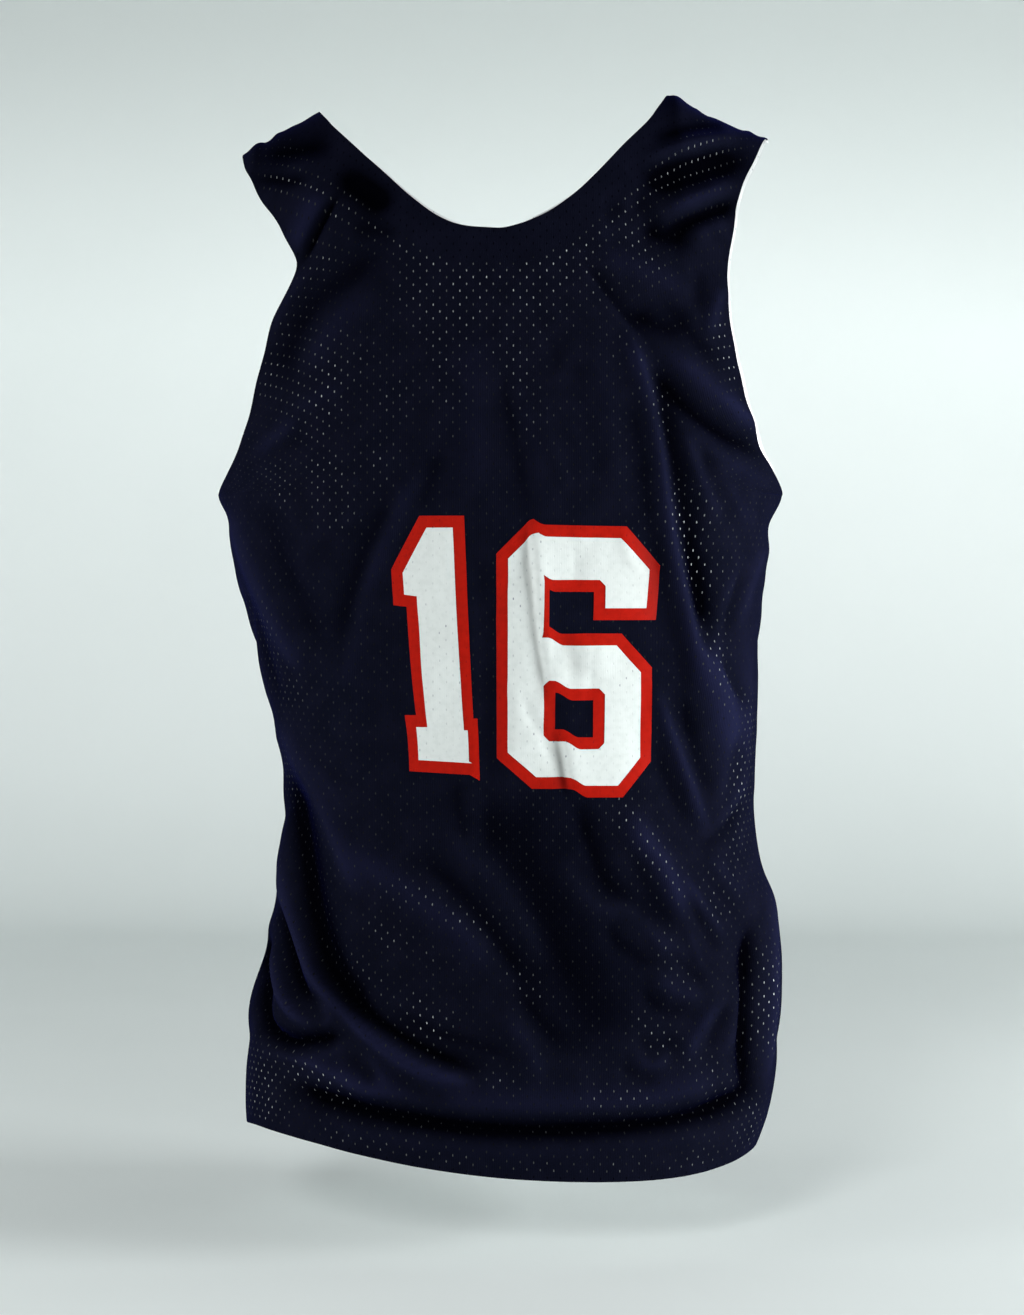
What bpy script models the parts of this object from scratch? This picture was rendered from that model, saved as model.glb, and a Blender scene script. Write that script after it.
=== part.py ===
"""Reversible basketball jersey in its worn shape: four cut pieces of thin mesh cloth.

The outer layer is navy and the inner layer white. Each layer has a back and a front, sewn along
the sides and the shoulders. The jersey faces -Y, its back faces +Y, and the origin lies midway
between the shoulder seams, where the wearer's shoulders carry it. All lengths are in metres.

Left and right are the wearer's own. In the tables, "reach" is the distance to the wearer's right
of the middle line (so the left side is negative), and "height" is the world's Z.
"""

import math
from collections import namedtuple

import bpy
import numpy as np

# Driving dimensions
LAYER_THICKNESS = 0.0012
LAYER_GAP = 0.0003
SEAM_GAP = 0.0003
ARMPIT_HEIGHT = -0.270
HEM_HEIGHT = -0.7262
HEM_TILT = 0.0078
HEM_TILT_MIDDLE = -0.15
HEM_TILT_SPREAD = 1.4
NECK_LEFT_REACH = -0.1296
NECK_RIGHT_REACH = 0.1210
NECK_LOWEST = {"back": -0.0925, "front": -0.1500}
NECK_BEND = 0.30
FRONT_ARMHOLE_SCOOP = 0.012
RING_SQUARENESS = 0.20
SHOULDER_ROUNDNESS = 0.25

# Grid of each panel: columns under half the neck and on one strap, and rows
HALF_NECK_COLUMNS = {"back": 8, "front": 6}
STRAP_COLUMNS = {"back": 6, "front": 4}
TORSO_ROWS = 20
YOKE_ROWS = 11
STRAP_ROWS = 6
STRAP_FOOT = 0.66
COLUMN_BUNCHING = math.radians(70)
ARMPIT_BUNCHING = 1.4
NORMAL_STEP = 1e-4
EDGE_ANGLE = math.radians(60)

# The torso from hem to armpit: reach to each side seam, and depth to the back and to the front.
Ring = namedtuple("Ring", "height left right back front")
RINGS = (
    Ring(-0.745, 0.1770, 0.1780, 0.1270, 0.1290),
    Ring(-0.712, 0.1814, 0.1910, 0.1245, 0.1270),
    Ring(-0.676, 0.1812, 0.1980, 0.1200, 0.1250),
    Ring(-0.633, 0.1790, 0.2010, 0.1180, 0.1240),
    Ring(-0.590, 0.1655, 0.2005, 0.1180, 0.1240),
    Ring(-0.557, 0.1600, 0.1940, 0.1180, 0.1235),
    Ring(-0.530, 0.1580, 0.1860, 0.1170, 0.1220),
    Ring(-0.489, 0.1555, 0.1815, 0.1165, 0.1200),
    Ring(-0.457, 0.1555, 0.1825, 0.1175, 0.1185),
    Ring(-0.417, 0.1650, 0.1840, 0.1200, 0.1175),
    Ring(-0.381, 0.1750, 0.1850, 0.1225, 0.1165),
    Ring(-0.345, 0.1835, 0.1886, 0.1240, 0.1150),
    Ring(-0.315, 0.1900, 0.1910, 0.1245, 0.1130),
    Ring(-0.290, 0.1930, 0.1930, 0.1240, 0.1110),
    Ring(-0.270, 0.2016, 0.2020, 0.1230, 0.1100),
)

# The yoke over the shoulders. Level runs from 0 at the armpit to 1 at the shoulder seam.
# Left and right are the armhole edges, girth is half the width of the figure there.
Yoke = namedtuple("Yoke", "level left right girth back front")
YOKES = (
    Yoke(0.00, 0.2016, 0.2020, 0.2020, 0.1230, 0.1100),
    Yoke(0.06, 0.1880, 0.1885, 0.2040, 0.1225, 0.1095),
    Yoke(0.12, 0.1770, 0.1765, 0.2060, 0.1220, 0.1090),
    Yoke(0.20, 0.1690, 0.1650, 0.2085, 0.1215, 0.1085),
    Yoke(0.29, 0.1560, 0.1585, 0.2110, 0.1210, 0.1080),
    Yoke(0.38, 0.1410, 0.1575, 0.2130, 0.1200, 0.1070),
    Yoke(0.47, 0.1480, 0.1610, 0.2150, 0.1190, 0.1060),
    Yoke(0.58, 0.1630, 0.1670, 0.2180, 0.1180, 0.1050),
    Yoke(0.71, 0.1770, 0.1770, 0.2210, 0.1170, 0.1040),
    Yoke(0.85, 0.1825, 0.1840, 0.2230, 0.1160, 0.1030),
    Yoke(1.00, 0.1840, 0.1890, 0.2250, 0.1150, 0.1020),
)

# The top line of the shoulders, carried on under the neck opening.
Ridge = namedtuple("Ridge", "reach height")
RIDGES = (
    Ridge(-0.230, -0.0560),
    Ridge(-0.184, -0.0246),
    Ridge(-0.130, 0.0056),
    Ridge(-0.065, 0.0360),
    Ridge(0.000, 0.0450),
    Ridge(0.060, 0.0370),
    Ridge(0.121, 0.0150),
    Ridge(0.189, -0.0116),
    Ridge(0.230, -0.0300),
)

# The largest folds: a soft ridge (rise above 0) or trough (below 0) along a bent line.
Fold = namedtuple("Fold", "name panel start middle end spread rise")
FOLDS = (
    Fold("left strap pleat", "back", (-0.108, -0.072), (-0.124, -0.094), (-0.139, -0.121), 0.013, 0.0055),
    Fold("left strap hollow", "back", (-0.094, -0.116), (-0.120, -0.146), (-0.146, -0.182), 0.014, -0.0045),
    Fold("right strap ridge", "back", (0.104, -0.033), (0.140, -0.026), (0.172, -0.024), 0.012, 0.0030),
    Fold("right strap hollow", "back", (0.108, -0.062), (0.140, -0.056), (0.170, -0.052), 0.012, -0.0045),
    Fold("right armpit hollow", "back", (0.092, -0.168), (0.118, -0.214), (0.182, -0.262), 0.016, -0.0060),
    Fold("right armpit ridge", "back", (0.088, -0.150), (0.126, -0.188), (0.160, -0.218), 0.015, 0.0045),
    Fold("long right ridge", "back", (0.105, -0.225), (0.116, -0.320), (0.141, -0.428), 0.017, 0.0065),
    Fold("long right hollow", "back", (0.080, -0.260), (0.090, -0.350), (0.114, -0.440), 0.018, -0.0045),
    Fold("right side hollow", "back", (0.172, -0.390), (0.178, -0.540), (0.168, -0.690), 0.015, -0.0070),
    Fold("hollow above the hem", "back", (-0.140, -0.668), (0.020, -0.712), (0.172, -0.672), 0.016, -0.0075),
    Fold("left swirl hollow", "back", (-0.140, -0.478), (-0.122, -0.606), (-0.020, -0.662), 0.017, -0.0070),
    Fold("left swirl ridge", "back", (-0.150, -0.520), (-0.136, -0.622), (-0.050, -0.668), 0.014, 0.0060),
    Fold("left side ridge", "back", (-0.184, -0.288), (-0.166, -0.356), (-0.142, -0.400), 0.017, 0.0065),
    Fold("middle hollow", "back", (0.018, -0.270), (0.032, -0.385), (0.050, -0.490), 0.015, -0.0040),
    Fold("lower right hollow", "back", (0.038, -0.512), (0.088, -0.580), (0.146, -0.632), 0.018, -0.0050),
    Fold("front right chest hollow", "front", (0.070, -0.170), (0.110, -0.215), (0.172, -0.262), 0.017, -0.0055),
    Fold("front left chest hollow", "front", (-0.075, -0.180), (-0.118, -0.222), (-0.174, -0.258), 0.017, -0.0050),
    Fold("front long left ridge", "front", (-0.110, -0.250), (-0.100, -0.380), (-0.122, -0.500), 0.019, 0.0060),
    Fold("front long right ridge", "front", (0.098, -0.260), (0.088, -0.390), (0.112, -0.520), 0.019, 0.0055),
    Fold("front waist hollow", "front", (-0.040, -0.400), (0.000, -0.500), (0.060, -0.590), 0.020, -0.0050),
    Fold("front hem swell", "front", (-0.060, -0.560), (-0.040, -0.640), (-0.050, -0.720), 0.021, 0.0060),
    Fold("front hollow by the hem", "front", (0.030, -0.600), (0.060, -0.670), (0.130, -0.700), 0.018, -0.0060),
)
FOLD_SAMPLES = 24
SEAM_CALM = 0.020


def smooth_table(rows, along, column):
    """A function that runs smoothly through one column of a table."""
    places = np.array([getattr(row, along) for row in rows])
    values = np.array([getattr(row, column) for row in rows])
    slopes = np.gradient(values, places)

    def at(place):
        place = min(max(place, places[0]), places[-1])
        i = min(int(np.searchsorted(places, place, side="right")) - 1, len(places) - 2)
        step = places[i + 1] - places[i]
        t = (place - places[i]) / step
        near = (1 + 2 * t) * (1 - t) ** 2 * values[i] + t * (1 - t) ** 2 * step * slopes[i]
        far = t * t * (3 - 2 * t) * values[i + 1] + t * t * (t - 1) * step * slopes[i + 1]
        return float(near + far)

    return at


torso_left = smooth_table(RINGS, "height", "left")
torso_right = smooth_table(RINGS, "height", "right")
torso_depth = {side: smooth_table(RINGS, "height", side) for side in ("back", "front")}
armhole_left = smooth_table(YOKES, "level", "left")
armhole_right = smooth_table(YOKES, "level", "right")
yoke_girth = smooth_table(YOKES, "level", "girth")
yoke_depth = {side: smooth_table(YOKES, "level", side) for side in ("back", "front")}
ridge_height = smooth_table(RIDGES, "reach", "height")


def ease(t):
    """Smooth step from 0 to 1."""
    t = min(max(t, 0.0), 1.0)
    return t * t * (3 - 2 * t)


def ring_point(girth, turn, depth):
    """Reach and depth on a ring, turn being the angle from the panel's middle line."""
    swell = 1 + RING_SQUARENESS * math.sin(turn) ** 2
    return girth * math.sin(turn), depth * math.cos(turn) * swell


def armhole_turn(panel, across, level):
    """Angle of the armhole edge on the side that across points to."""
    edge = armhole_right(level) if across > 0 else armhole_left(level)
    if panel == "front":
        edge -= FRONT_ARMHOLE_SCOOP * math.sin(math.pi * min(level, 1.0))
    return math.asin(min(edge / yoke_girth(level), 1.0))


def neck_corner(panel, side):
    """Where across the shoulder seam a neck corner lies, side being -1 or 1."""
    reach = NECK_RIGHT_REACH if side > 0 else NECK_LEFT_REACH
    return math.asin(reach / yoke_girth(1.0)) / armhole_turn(panel, side, 1.0)


def neck_bottom(panel):
    """Level of the lowest point of the neck edge."""
    sine = (NECK_LOWEST[panel] - ARMPIT_HEIGHT) / (ridge_height(0.0) - ARMPIT_HEIGHT)
    return math.asin(sine) / (math.pi / 2)


def neck_level(panel, across):
    """Level of the neck edge at a place across."""
    share = across / neck_corner(panel, math.copysign(1, across))
    low = neck_bottom(panel)
    return low + (1 - low) * (1 - (1 - share * share) ** NECK_BEND)


def neck_across(panel, side, level):
    """Place across of the neck edge at a level: the inverse of neck_level."""
    low = neck_bottom(panel)
    climbed = (level - low) / (1 - low)
    return neck_corner(panel, side) * math.sqrt(1 - (1 - climbed) ** (1 / NECK_BEND))


def fold_rise(panel, reach, height):
    """Sum of the folds at a place on a panel."""
    total = 0.0
    for name, on_panel, start, middle, end, spread, rise in FOLDS:
        if on_panel != panel:
            continue
        line = fold_lines[name]
        steps = np.hypot(line[:, 0] - reach, line[:, 1] - height)
        nearest = int(np.argmin(steps))
        fade = math.sin(math.pi * (0.08 + 0.84 * nearest / FOLD_SAMPLES)) ** 0.6
        total += rise * fade * math.exp(-(float(steps[nearest]) / spread) ** 2)
    return total


def bent_line(start, middle, end):
    """Points on a curve from start to end that leans towards middle."""
    t = np.linspace(0, 1, FOLD_SAMPLES + 1)[:, None]
    return (1 - t) ** 2 * np.array(start) + 2 * t * (1 - t) * np.array(middle) + t * t * np.array(end)


fold_lines = {fold.name: bent_line(fold.start, fold.middle, fold.end) for fold in FOLDS}


def hem_height(across):
    """The hem hangs a little lower on the wearer's right."""
    turn = min(max(HEM_TILT_SPREAD * (across - HEM_TILT_MIDDLE), -math.pi / 2), math.pi / 2)
    return HEM_HEIGHT - HEM_TILT * math.sin(turn)


def place_on_panel(panel, across, level):
    """Reach, depth and height of the unfolded cloth.

    Across runs from -1 to 1 between the panel's sides. Level runs from -1 at the hem by 0 at the
    armpit to 1 at the shoulder seam.
    """
    if level <= 0:
        hem = hem_height(across)
        height = ARMPIT_HEIGHT + (ARMPIT_HEIGHT - hem) * level
        girth = torso_right(height) if across > 0 else torso_left(height)
        reach, depth = ring_point(girth, across * math.pi / 2, torso_depth[panel](height))
    else:
        tilt = level * math.pi / 2
        turn = across * armhole_turn(panel, across, level)
        reach, depth = ring_point(yoke_girth(level), turn, yoke_depth[panel](level))
        height = ARMPIT_HEIGHT + (ridge_height(reach) - ARMPIT_HEIGHT) * math.sin(tilt)
        depth *= math.cos(tilt) * (1 + SHOULDER_ROUNDNESS * math.sin(tilt) ** 2)
    return reach, depth, height


def world_point(panel, reach, depth, height):
    """World place: the wearer's right is -X, the back +Y. Each seam keeps its gap at Y = 0."""
    facing = 1 if panel == "back" else -1
    return np.array((-reach, facing * (depth + SEAM_GAP / 2), height))


def outward(panel, across, level):
    """Unit normal of the unfolded cloth, kept square to the seams so that their gap stays."""
    step = NORMAL_STEP
    ends = [(across + step, level), (across - step, level), (across, level + step), (across, level - step)]
    right, left, above, below = (world_point(panel, *place_on_panel(panel, *end)) for end in ends)
    normal = np.cross(right - left, above - below)
    if panel == "front":
        normal = -normal
    if level >= 1 or (level <= 0 and abs(across) >= 1):
        normal[1] = 0
    return normal / np.linalg.norm(normal)


def cloth_point(panel, across, level, lift):
    """A point of the folded cloth, moved out by lift."""
    reach, depth, height = place_on_panel(panel, across, level)
    calm = ease(depth / SEAM_CALM)
    rise = calm * fold_rise(panel, reach, height) + lift
    return world_point(panel, reach, depth, height) + rise * outward(panel, across, level)


def yoke_levels(top):
    """Levels from the armpit to a column's top, closer together round the bottom of the armhole."""
    return top * np.linspace(0, 1, YOKE_ROWS + 1) ** ARMPIT_BUNCHING


def strap_column(panel, side, share):
    """Places along a column that ends on a shoulder seam, share being 0 at the neck and 1 at the armhole."""
    neck = neck_across(panel, side, STRAP_FOOT)
    foot = neck + (side - neck) * share
    places = [(foot, level) for level in np.linspace(-1, 0, TORSO_ROWS + 1)[:-1]]
    places += [(foot, level) for level in yoke_levels(STRAP_FOOT)]
    for level in np.linspace(STRAP_FOOT, 1, STRAP_ROWS + 1)[1:]:
        neck = neck_across(panel, side, level)
        places.append((neck + (side - neck) * share, level))
    return places


def neck_column(panel, across):
    """Places along a column that ends at the neck edge."""
    places = [(across, level) for level in np.linspace(-1, 0, TORSO_ROWS + 1)[:-1]]
    places += [(across, level) for level in yoke_levels(neck_level(panel, across))]
    return places


def panel_columns(panel):
    """All columns of a panel, from the left armhole to the right one."""
    shares = np.linspace(1, 0, STRAP_COLUMNS[panel] + 1)
    columns = [strap_column(panel, -1, share) for share in shares]
    steps = HALF_NECK_COLUMNS[panel]
    for step in range(1 - steps, steps):
        side = math.copysign(1, step)
        share = math.sin(abs(step) / steps * COLUMN_BUNCHING) / math.sin(COLUMN_BUNCHING)
        columns.append(neck_column(panel, share * neck_across(panel, side, STRAP_FOOT)))
    columns += [strap_column(panel, 1, share) for share in shares[::-1]]
    return columns


def cloth_material(name, colour, roughness):
    material = bpy.data.materials.new(name)
    material.use_nodes = True
    shader = material.node_tree.nodes["Principled BSDF"]
    shader.inputs["Base Color"].default_value = (*colour, 1.0)
    shader.inputs["Roughness"].default_value = roughness
    shader.inputs["Metallic"].default_value = 0.0
    return material


def cell_triangles(columns, points):
    """Two triangles for each cell between two columns, cut along its shorter diagonal."""
    triangles = []
    start = 0
    for column, following in zip(columns, columns[1:]):
        for row in range(min(len(column), len(following)) - 1):
            low = start + row
            beside = low + len(column)
            rising = np.linalg.norm(points[beside + 1] - points[low])
            falling = np.linalg.norm(points[beside] - points[low + 1])
            if rising < falling:
                triangles += [(low, beside, beside + 1), (low, beside + 1, low + 1)]
            else:
                triangles += [(low, beside, low + 1), (beside, beside + 1, low + 1)]
        start += len(column)
    return triangles


def wall_faces(triangles, count):
    """A closed wall's faces: the far side, the near side turned round, and the rim between them."""
    edges = {(corners[i], corners[i - 2]) for corners in triangles for i in range(3)}
    border = sorted(edge for edge in edges if edge[::-1] not in edges)
    faces = [tuple(corner + count for corner in corners) for corners in triangles]
    faces += [corners[::-1] for corners in triangles]
    for here, there in border:
        faces += [(here, there, there + count), (here, there + count, here + count)]
    return faces


def cloth_piece(name, panel, lifts, material, collection):
    """One cut piece: a closed wall between two lifts of the same panel."""
    columns = panel_columns(panel)
    places = [place for column in columns for place in column]
    middle, near, far = (
        np.array([cloth_point(panel, across, level, lift) for across, level in places])
        for lift in (0.0, *lifts)
    )
    faces = wall_faces(cell_triangles(columns, middle), len(places))
    if panel == "front":
        faces = [face[::-1] for face in faces]
    mesh = bpy.data.meshes.new(name)
    mesh.from_pydata(np.concatenate((near, far)).tolist(), [], faces)
    mesh.shade_smooth()
    mesh.set_sharp_from_angle(angle=EDGE_ANGLE)
    mesh.materials.append(material)
    collection.objects.link(bpy.data.objects.new(name, mesh))


def clear_scene():
    for item in list(bpy.data.objects):
        bpy.data.objects.remove(item, do_unlink=True)


def build():
    clear_scene()
    collection = bpy.data.collections.new("basketball_jersey")
    bpy.context.scene.collection.children.link(collection)
    navy = cloth_material("navy_mesh", (0.012, 0.013, 0.042), 0.55)
    white = cloth_material("white_mesh", (0.78, 0.79, 0.80), 0.65)
    near = LAYER_GAP / 2
    far = near + LAYER_THICKNESS
    for panel in ("back", "front"):
        cloth_piece("outer_" + panel, panel, (near, far), navy, collection)
        cloth_piece("inner_" + panel, panel, (-far, -near), white, collection)


build()
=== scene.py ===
# %% [markdown]
# # A reversible basketball jersey in its worn shape
# The jersey is two thin layers of polyester mesh, navy outside and white inside. Each layer is cut as
# a back and a front, and the four pieces are sewn together at the shoulders and the sides. The number
# on the back is printed in white ink with a red border.
#
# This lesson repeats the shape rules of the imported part, on a much finer grid, and adds what a rigid
# model leaves out: the creases, the open mesh, the print and the look of the yarn.

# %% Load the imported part
import math
from collections import namedtuple

import bpy
import numpy as np
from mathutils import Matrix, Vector
from mathutils.bvhtree import BVHTree
from mathutils.geometry import delaunay_2d_cdt


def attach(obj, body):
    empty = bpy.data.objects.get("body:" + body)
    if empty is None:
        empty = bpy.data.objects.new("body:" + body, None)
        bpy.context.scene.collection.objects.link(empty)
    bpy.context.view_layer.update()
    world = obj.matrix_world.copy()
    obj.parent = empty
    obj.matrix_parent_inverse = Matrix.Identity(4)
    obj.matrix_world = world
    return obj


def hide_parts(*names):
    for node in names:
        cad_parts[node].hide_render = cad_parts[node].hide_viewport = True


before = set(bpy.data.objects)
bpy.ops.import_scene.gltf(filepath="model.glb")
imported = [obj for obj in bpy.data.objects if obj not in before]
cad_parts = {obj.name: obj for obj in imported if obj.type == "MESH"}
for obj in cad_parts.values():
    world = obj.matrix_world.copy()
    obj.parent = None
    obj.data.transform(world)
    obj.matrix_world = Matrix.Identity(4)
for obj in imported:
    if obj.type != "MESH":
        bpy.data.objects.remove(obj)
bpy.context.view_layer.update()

print("packed part:", ", ".join(sorted(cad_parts)))

# %% [markdown]
# ## Camera
# The jersey is seen square from behind, from 1.8 m away, a little above its middle. Making the camera
# first means that every later step can be looked at. A long side of 36 mm is Blender's own sensor, so
# the lens follows from the distance and the size of the picture. The small shift keeps the upright
# lines upright, as a view camera does.

# %% Camera
PICTURE_WIDTH, PICTURE_HEIGHT = 1024, 1315
SENSOR = 36.0
FOCAL_PIXELS = 2500.0
EYE = (0.0, 1.80, -0.345)
EYE_COLUMN, EYE_ROW = 500.0, 600.0


def add_camera():
    """A camera behind the jersey that looks along -Y."""
    data = bpy.data.cameras.new("camera")
    data.sensor_width = SENSOR
    data.lens = FOCAL_PIXELS / PICTURE_HEIGHT * SENSOR
    data.shift_x = (PICTURE_WIDTH / 2 - EYE_COLUMN) / PICTURE_HEIGHT
    data.shift_y = (EYE_ROW - PICTURE_HEIGHT / 2) / PICTURE_HEIGHT
    camera = bpy.data.objects.new("camera", data)
    camera.location = EYE
    camera.rotation_euler = (math.pi / 2, 0, math.pi)
    bpy.context.scene.collection.objects.link(camera)
    bpy.context.scene.camera = camera
    print(f"camera: {data.lens:.1f} mm lens, shift {data.shift_x:.4f}, {data.shift_y:.4f}")


add_camera()

# %% [markdown]
# ## The shape of the cloth
# A worn jersey is a tube round the chest that opens into two straps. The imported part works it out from
# rings below the armpits and from curves that climb over the shoulders above them. The same named
# sizes are repeated here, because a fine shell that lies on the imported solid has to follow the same
# rules. "Reach" is the distance to the wearer's right, "height" is the world's Z, and "across" runs
# from -1 to 1 between the two sides of a panel. Where fine cloth shows more than a coarse solid, the
# sizes are finer too: the line of the hem, the bend of the neck, the ridge of the shoulders and a few
# places of the sides.

# %% Sizes of the cut and the figure
ARMPIT_HEIGHT = -0.270
HEM_HEIGHT = -0.7262
NECK_LEFT_REACH = -0.1296
NECK_RIGHT_REACH = 0.1210
NECK_LOWEST = {"back": -0.0925, "front": -0.1500}
NeckCurve = namedtuple("NeckCurve", "power bend")
NECK_LEFT, NECK_RIGHT = NeckCurve(3.1, 0.525), NeckCurve(1.8, 0.35)
FRONT_ARMHOLE_SCOOP = 0.012
RING_SQUARENESS = 0.20
SHOULDER_ROUNDNESS = 0.25
STRAP_FOOT = 0.66

Ring = namedtuple("Ring", "height left right back front")
RINGS = (
    Ring(-0.745, 0.1770, 0.1780, 0.1270, 0.1290),
    Ring(-0.712, 0.1814, 0.1910, 0.1245, 0.1270),
    Ring(-0.676, 0.1812, 0.1980, 0.1200, 0.1250),
    Ring(-0.633, 0.1790, 0.2010, 0.1180, 0.1240),
    Ring(-0.590, 0.1655, 0.2005, 0.1180, 0.1240),
    Ring(-0.557, 0.1600, 0.1940, 0.1180, 0.1235),
    Ring(-0.530, 0.1580, 0.1860, 0.1170, 0.1220),
    Ring(-0.489, 0.1555, 0.1815, 0.1165, 0.1200),
    Ring(-0.457, 0.1555, 0.1825, 0.1175, 0.1185),
    Ring(-0.438, 0.1582, 0.1832, 0.1188, 0.1180),
    Ring(-0.417, 0.1650, 0.1840, 0.1200, 0.1175),
    Ring(-0.381, 0.1750, 0.1850, 0.1225, 0.1165),
    Ring(-0.345, 0.1828, 0.1872, 0.1240, 0.1150),
    Ring(-0.315, 0.1874, 0.1880, 0.1245, 0.1130),
    Ring(-0.290, 0.1912, 0.1920, 0.1240, 0.1110),
    Ring(-0.270, 0.1944, 0.1946, 0.1230, 0.1100),
)
ARMPIT_FLARE = 0.0073
FLARE_HEIGHT = 0.024
FLARE_FROM = 0.72
CARRY = 0.16
Yoke = namedtuple("Yoke", "level left right girth back front")
YOKES = (
    Yoke(0.00, 0.2016, 0.2020, 0.2020, 0.1230, 0.1100),
    Yoke(0.06, 0.1850, 0.1845, 0.2040, 0.1225, 0.1095),
    Yoke(0.12, 0.1740, 0.1722, 0.2060, 0.1220, 0.1090),
    Yoke(0.20, 0.1662, 0.1650, 0.2085, 0.1215, 0.1085),
    Yoke(0.29, 0.1552, 0.1572, 0.2110, 0.1210, 0.1080),
    Yoke(0.38, 0.1388, 0.1560, 0.2130, 0.1200, 0.1070),
    Yoke(0.47, 0.1490, 0.1610, 0.2150, 0.1190, 0.1060),
    Yoke(0.58, 0.1650, 0.1670, 0.2180, 0.1180, 0.1050),
    Yoke(0.71, 0.1770, 0.1788, 0.2210, 0.1170, 0.1040),
    Yoke(0.85, 0.1825, 0.1868, 0.2230, 0.1160, 0.1030),
    Yoke(1.00, 0.1840, 0.1922, 0.2250, 0.1150, 0.1020),
)
Ridge = namedtuple("Ridge", "reach height")
RIDGES = (
    Ridge(-0.230, -0.0560),
    Ridge(-0.184, -0.0262),
    Ridge(-0.180, -0.0232),
    Ridge(-0.175, -0.0184),
    Ridge(-0.169, -0.0172),
    Ridge(-0.156, -0.0092),
    Ridge(-0.142, -0.0028),
    Ridge(-0.130, 0.0042),
    Ridge(-0.065, 0.0360),
    Ridge(0.000, 0.0450),
    Ridge(0.060, 0.0370),
    Ridge(0.121, 0.0162),
    Ridge(0.125, 0.0164),
    Ridge(0.133, 0.0112),
    Ridge(0.141, 0.0060),
    Ridge(0.150, 0.0014),
    Ridge(0.158, -0.0014),
    Ridge(0.167, -0.0060),
    Ridge(0.176, -0.0088),
    Ridge(0.184, -0.0114),
    Ridge(0.190, -0.0140),
    Ridge(0.230, -0.0300),
)
Hem = namedtuple("Hem", "across height")
HEMS = (
    Hem(-1.00, -0.7192),
    Hem(-0.90, -0.7158),
    Hem(-0.80, -0.7126),
    Hem(-0.65, -0.7116),
    Hem(-0.50, -0.7142),
    Hem(-0.35, -0.7195),
    Hem(-0.20, -0.7256),
    Hem(0.00, -0.7321),
    Hem(0.20, -0.7356),
    Hem(0.50, -0.7364),
    Hem(0.65, -0.7340),
    Hem(0.80, -0.7312),
    Hem(1.00, -0.7300),
)


# %% Smooth curves through the tables
def smooth_table(rows, along, column):
    """A function of whole arrays that runs smoothly through one column of a table."""
    places = np.array([getattr(row, along) for row in rows])
    values = np.array([getattr(row, column) for row in rows])
    slopes = np.gradient(values, places)

    def at(place):
        place = np.clip(place, places[0], places[-1])
        i = np.clip(np.searchsorted(places, place, side="right") - 1, 0, len(places) - 2)
        step = places[i + 1] - places[i]
        t = (place - places[i]) / step
        near = (1 + 2 * t) * (1 - t) ** 2 * values[i] + t * (1 - t) ** 2 * step * slopes[i]
        far = t * t * (3 - 2 * t) * values[i + 1] + t * t * (t - 1) * step * slopes[i + 1]
        return near + far

    return at


torso_left = smooth_table(RINGS, "height", "left")
torso_right = smooth_table(RINGS, "height", "right")
torso_depth = {side: smooth_table(RINGS, "height", side) for side in ("back", "front")}
armhole_left = smooth_table(YOKES, "level", "left")
armhole_right = smooth_table(YOKES, "level", "right")
yoke_girth = smooth_table(YOKES, "level", "girth")
yoke_depth = {side: smooth_table(YOKES, "level", side) for side in ("back", "front")}
ridge_height = smooth_table(RIDGES, "reach", "height")
hem_height = smooth_table(HEMS, "across", "height")


def ease(t):
    """Smooth step from 0 to 1."""
    t = np.clip(t, 0.0, 1.0)
    return t * t * (3 - 2 * t)


def armhole_turn(panel, across, level):
    """Angle of the armhole edge on the side that across points to."""
    edge = np.where(across > 0, armhole_right(level), armhole_left(level))
    if panel == "front":
        edge = edge - FRONT_ARMHOLE_SCOOP * np.sin(np.pi * np.minimum(level, 1.0))
    return np.arcsin(np.minimum(edge / yoke_girth(level), 1.0))


def neck_corner(panel, side):
    """Where across the shoulder seam the neck corners lie, side being -1 or 1."""
    reach = np.where(side > 0, NECK_RIGHT_REACH, NECK_LEFT_REACH)
    return np.arcsin(reach / yoke_girth(1.0)) / armhole_turn(panel, side, 1.0)


def neck_bottom(panel):
    """Level of the lowest point of the neck edge."""
    sine = (NECK_LOWEST[panel] - ARMPIT_HEIGHT) / (ridge_height(0.0) - ARMPIT_HEIGHT)
    return math.asin(sine) / (math.pi / 2)


def neck_level(panel, across):
    """Level of the neck edge at a place across."""
    share = np.abs(across / neck_corner(panel, np.where(across < 0, -1, 1)))
    power, bend = (np.where(across < 0, left, right) for left, right in zip(NECK_LEFT, NECK_RIGHT))
    low = neck_bottom(panel)
    return low + (1 - low) * (1 - (1 - share ** power) ** bend)


def neck_across(panel, side, level):
    """Place across of the neck edge at a level: the inverse of neck_level."""
    low = neck_bottom(panel)
    climbed = (level - low) / (1 - low)
    power, bend = NECK_LEFT if side < 0 else NECK_RIGHT
    return neck_corner(panel, side) * (1 - (1 - climbed) ** (1 / bend)) ** (1 / power)


def ring_point(girth, turn, depth):
    """Reach and depth on a ring, turn being the angle from the panel's middle line."""
    return girth * np.sin(turn), depth * np.cos(turn) * (1 + RING_SQUARENESS * np.sin(turn) ** 2)


def torso_place(panel, across, height):
    """Reach and depth below the armpits, where only the outermost cloth flares out to the armpit."""
    girth = np.where(across > 0, torso_right(height), torso_left(height))
    near_armpit = ease((height - ARMPIT_HEIGHT) / FLARE_HEIGHT + 1)
    flare = near_armpit * ease((np.abs(across) - FLARE_FROM) / (1 - FLARE_FROM))
    return ring_point(girth + ARMPIT_FLARE * flare, across * np.pi / 2, torso_depth[panel](height))


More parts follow.
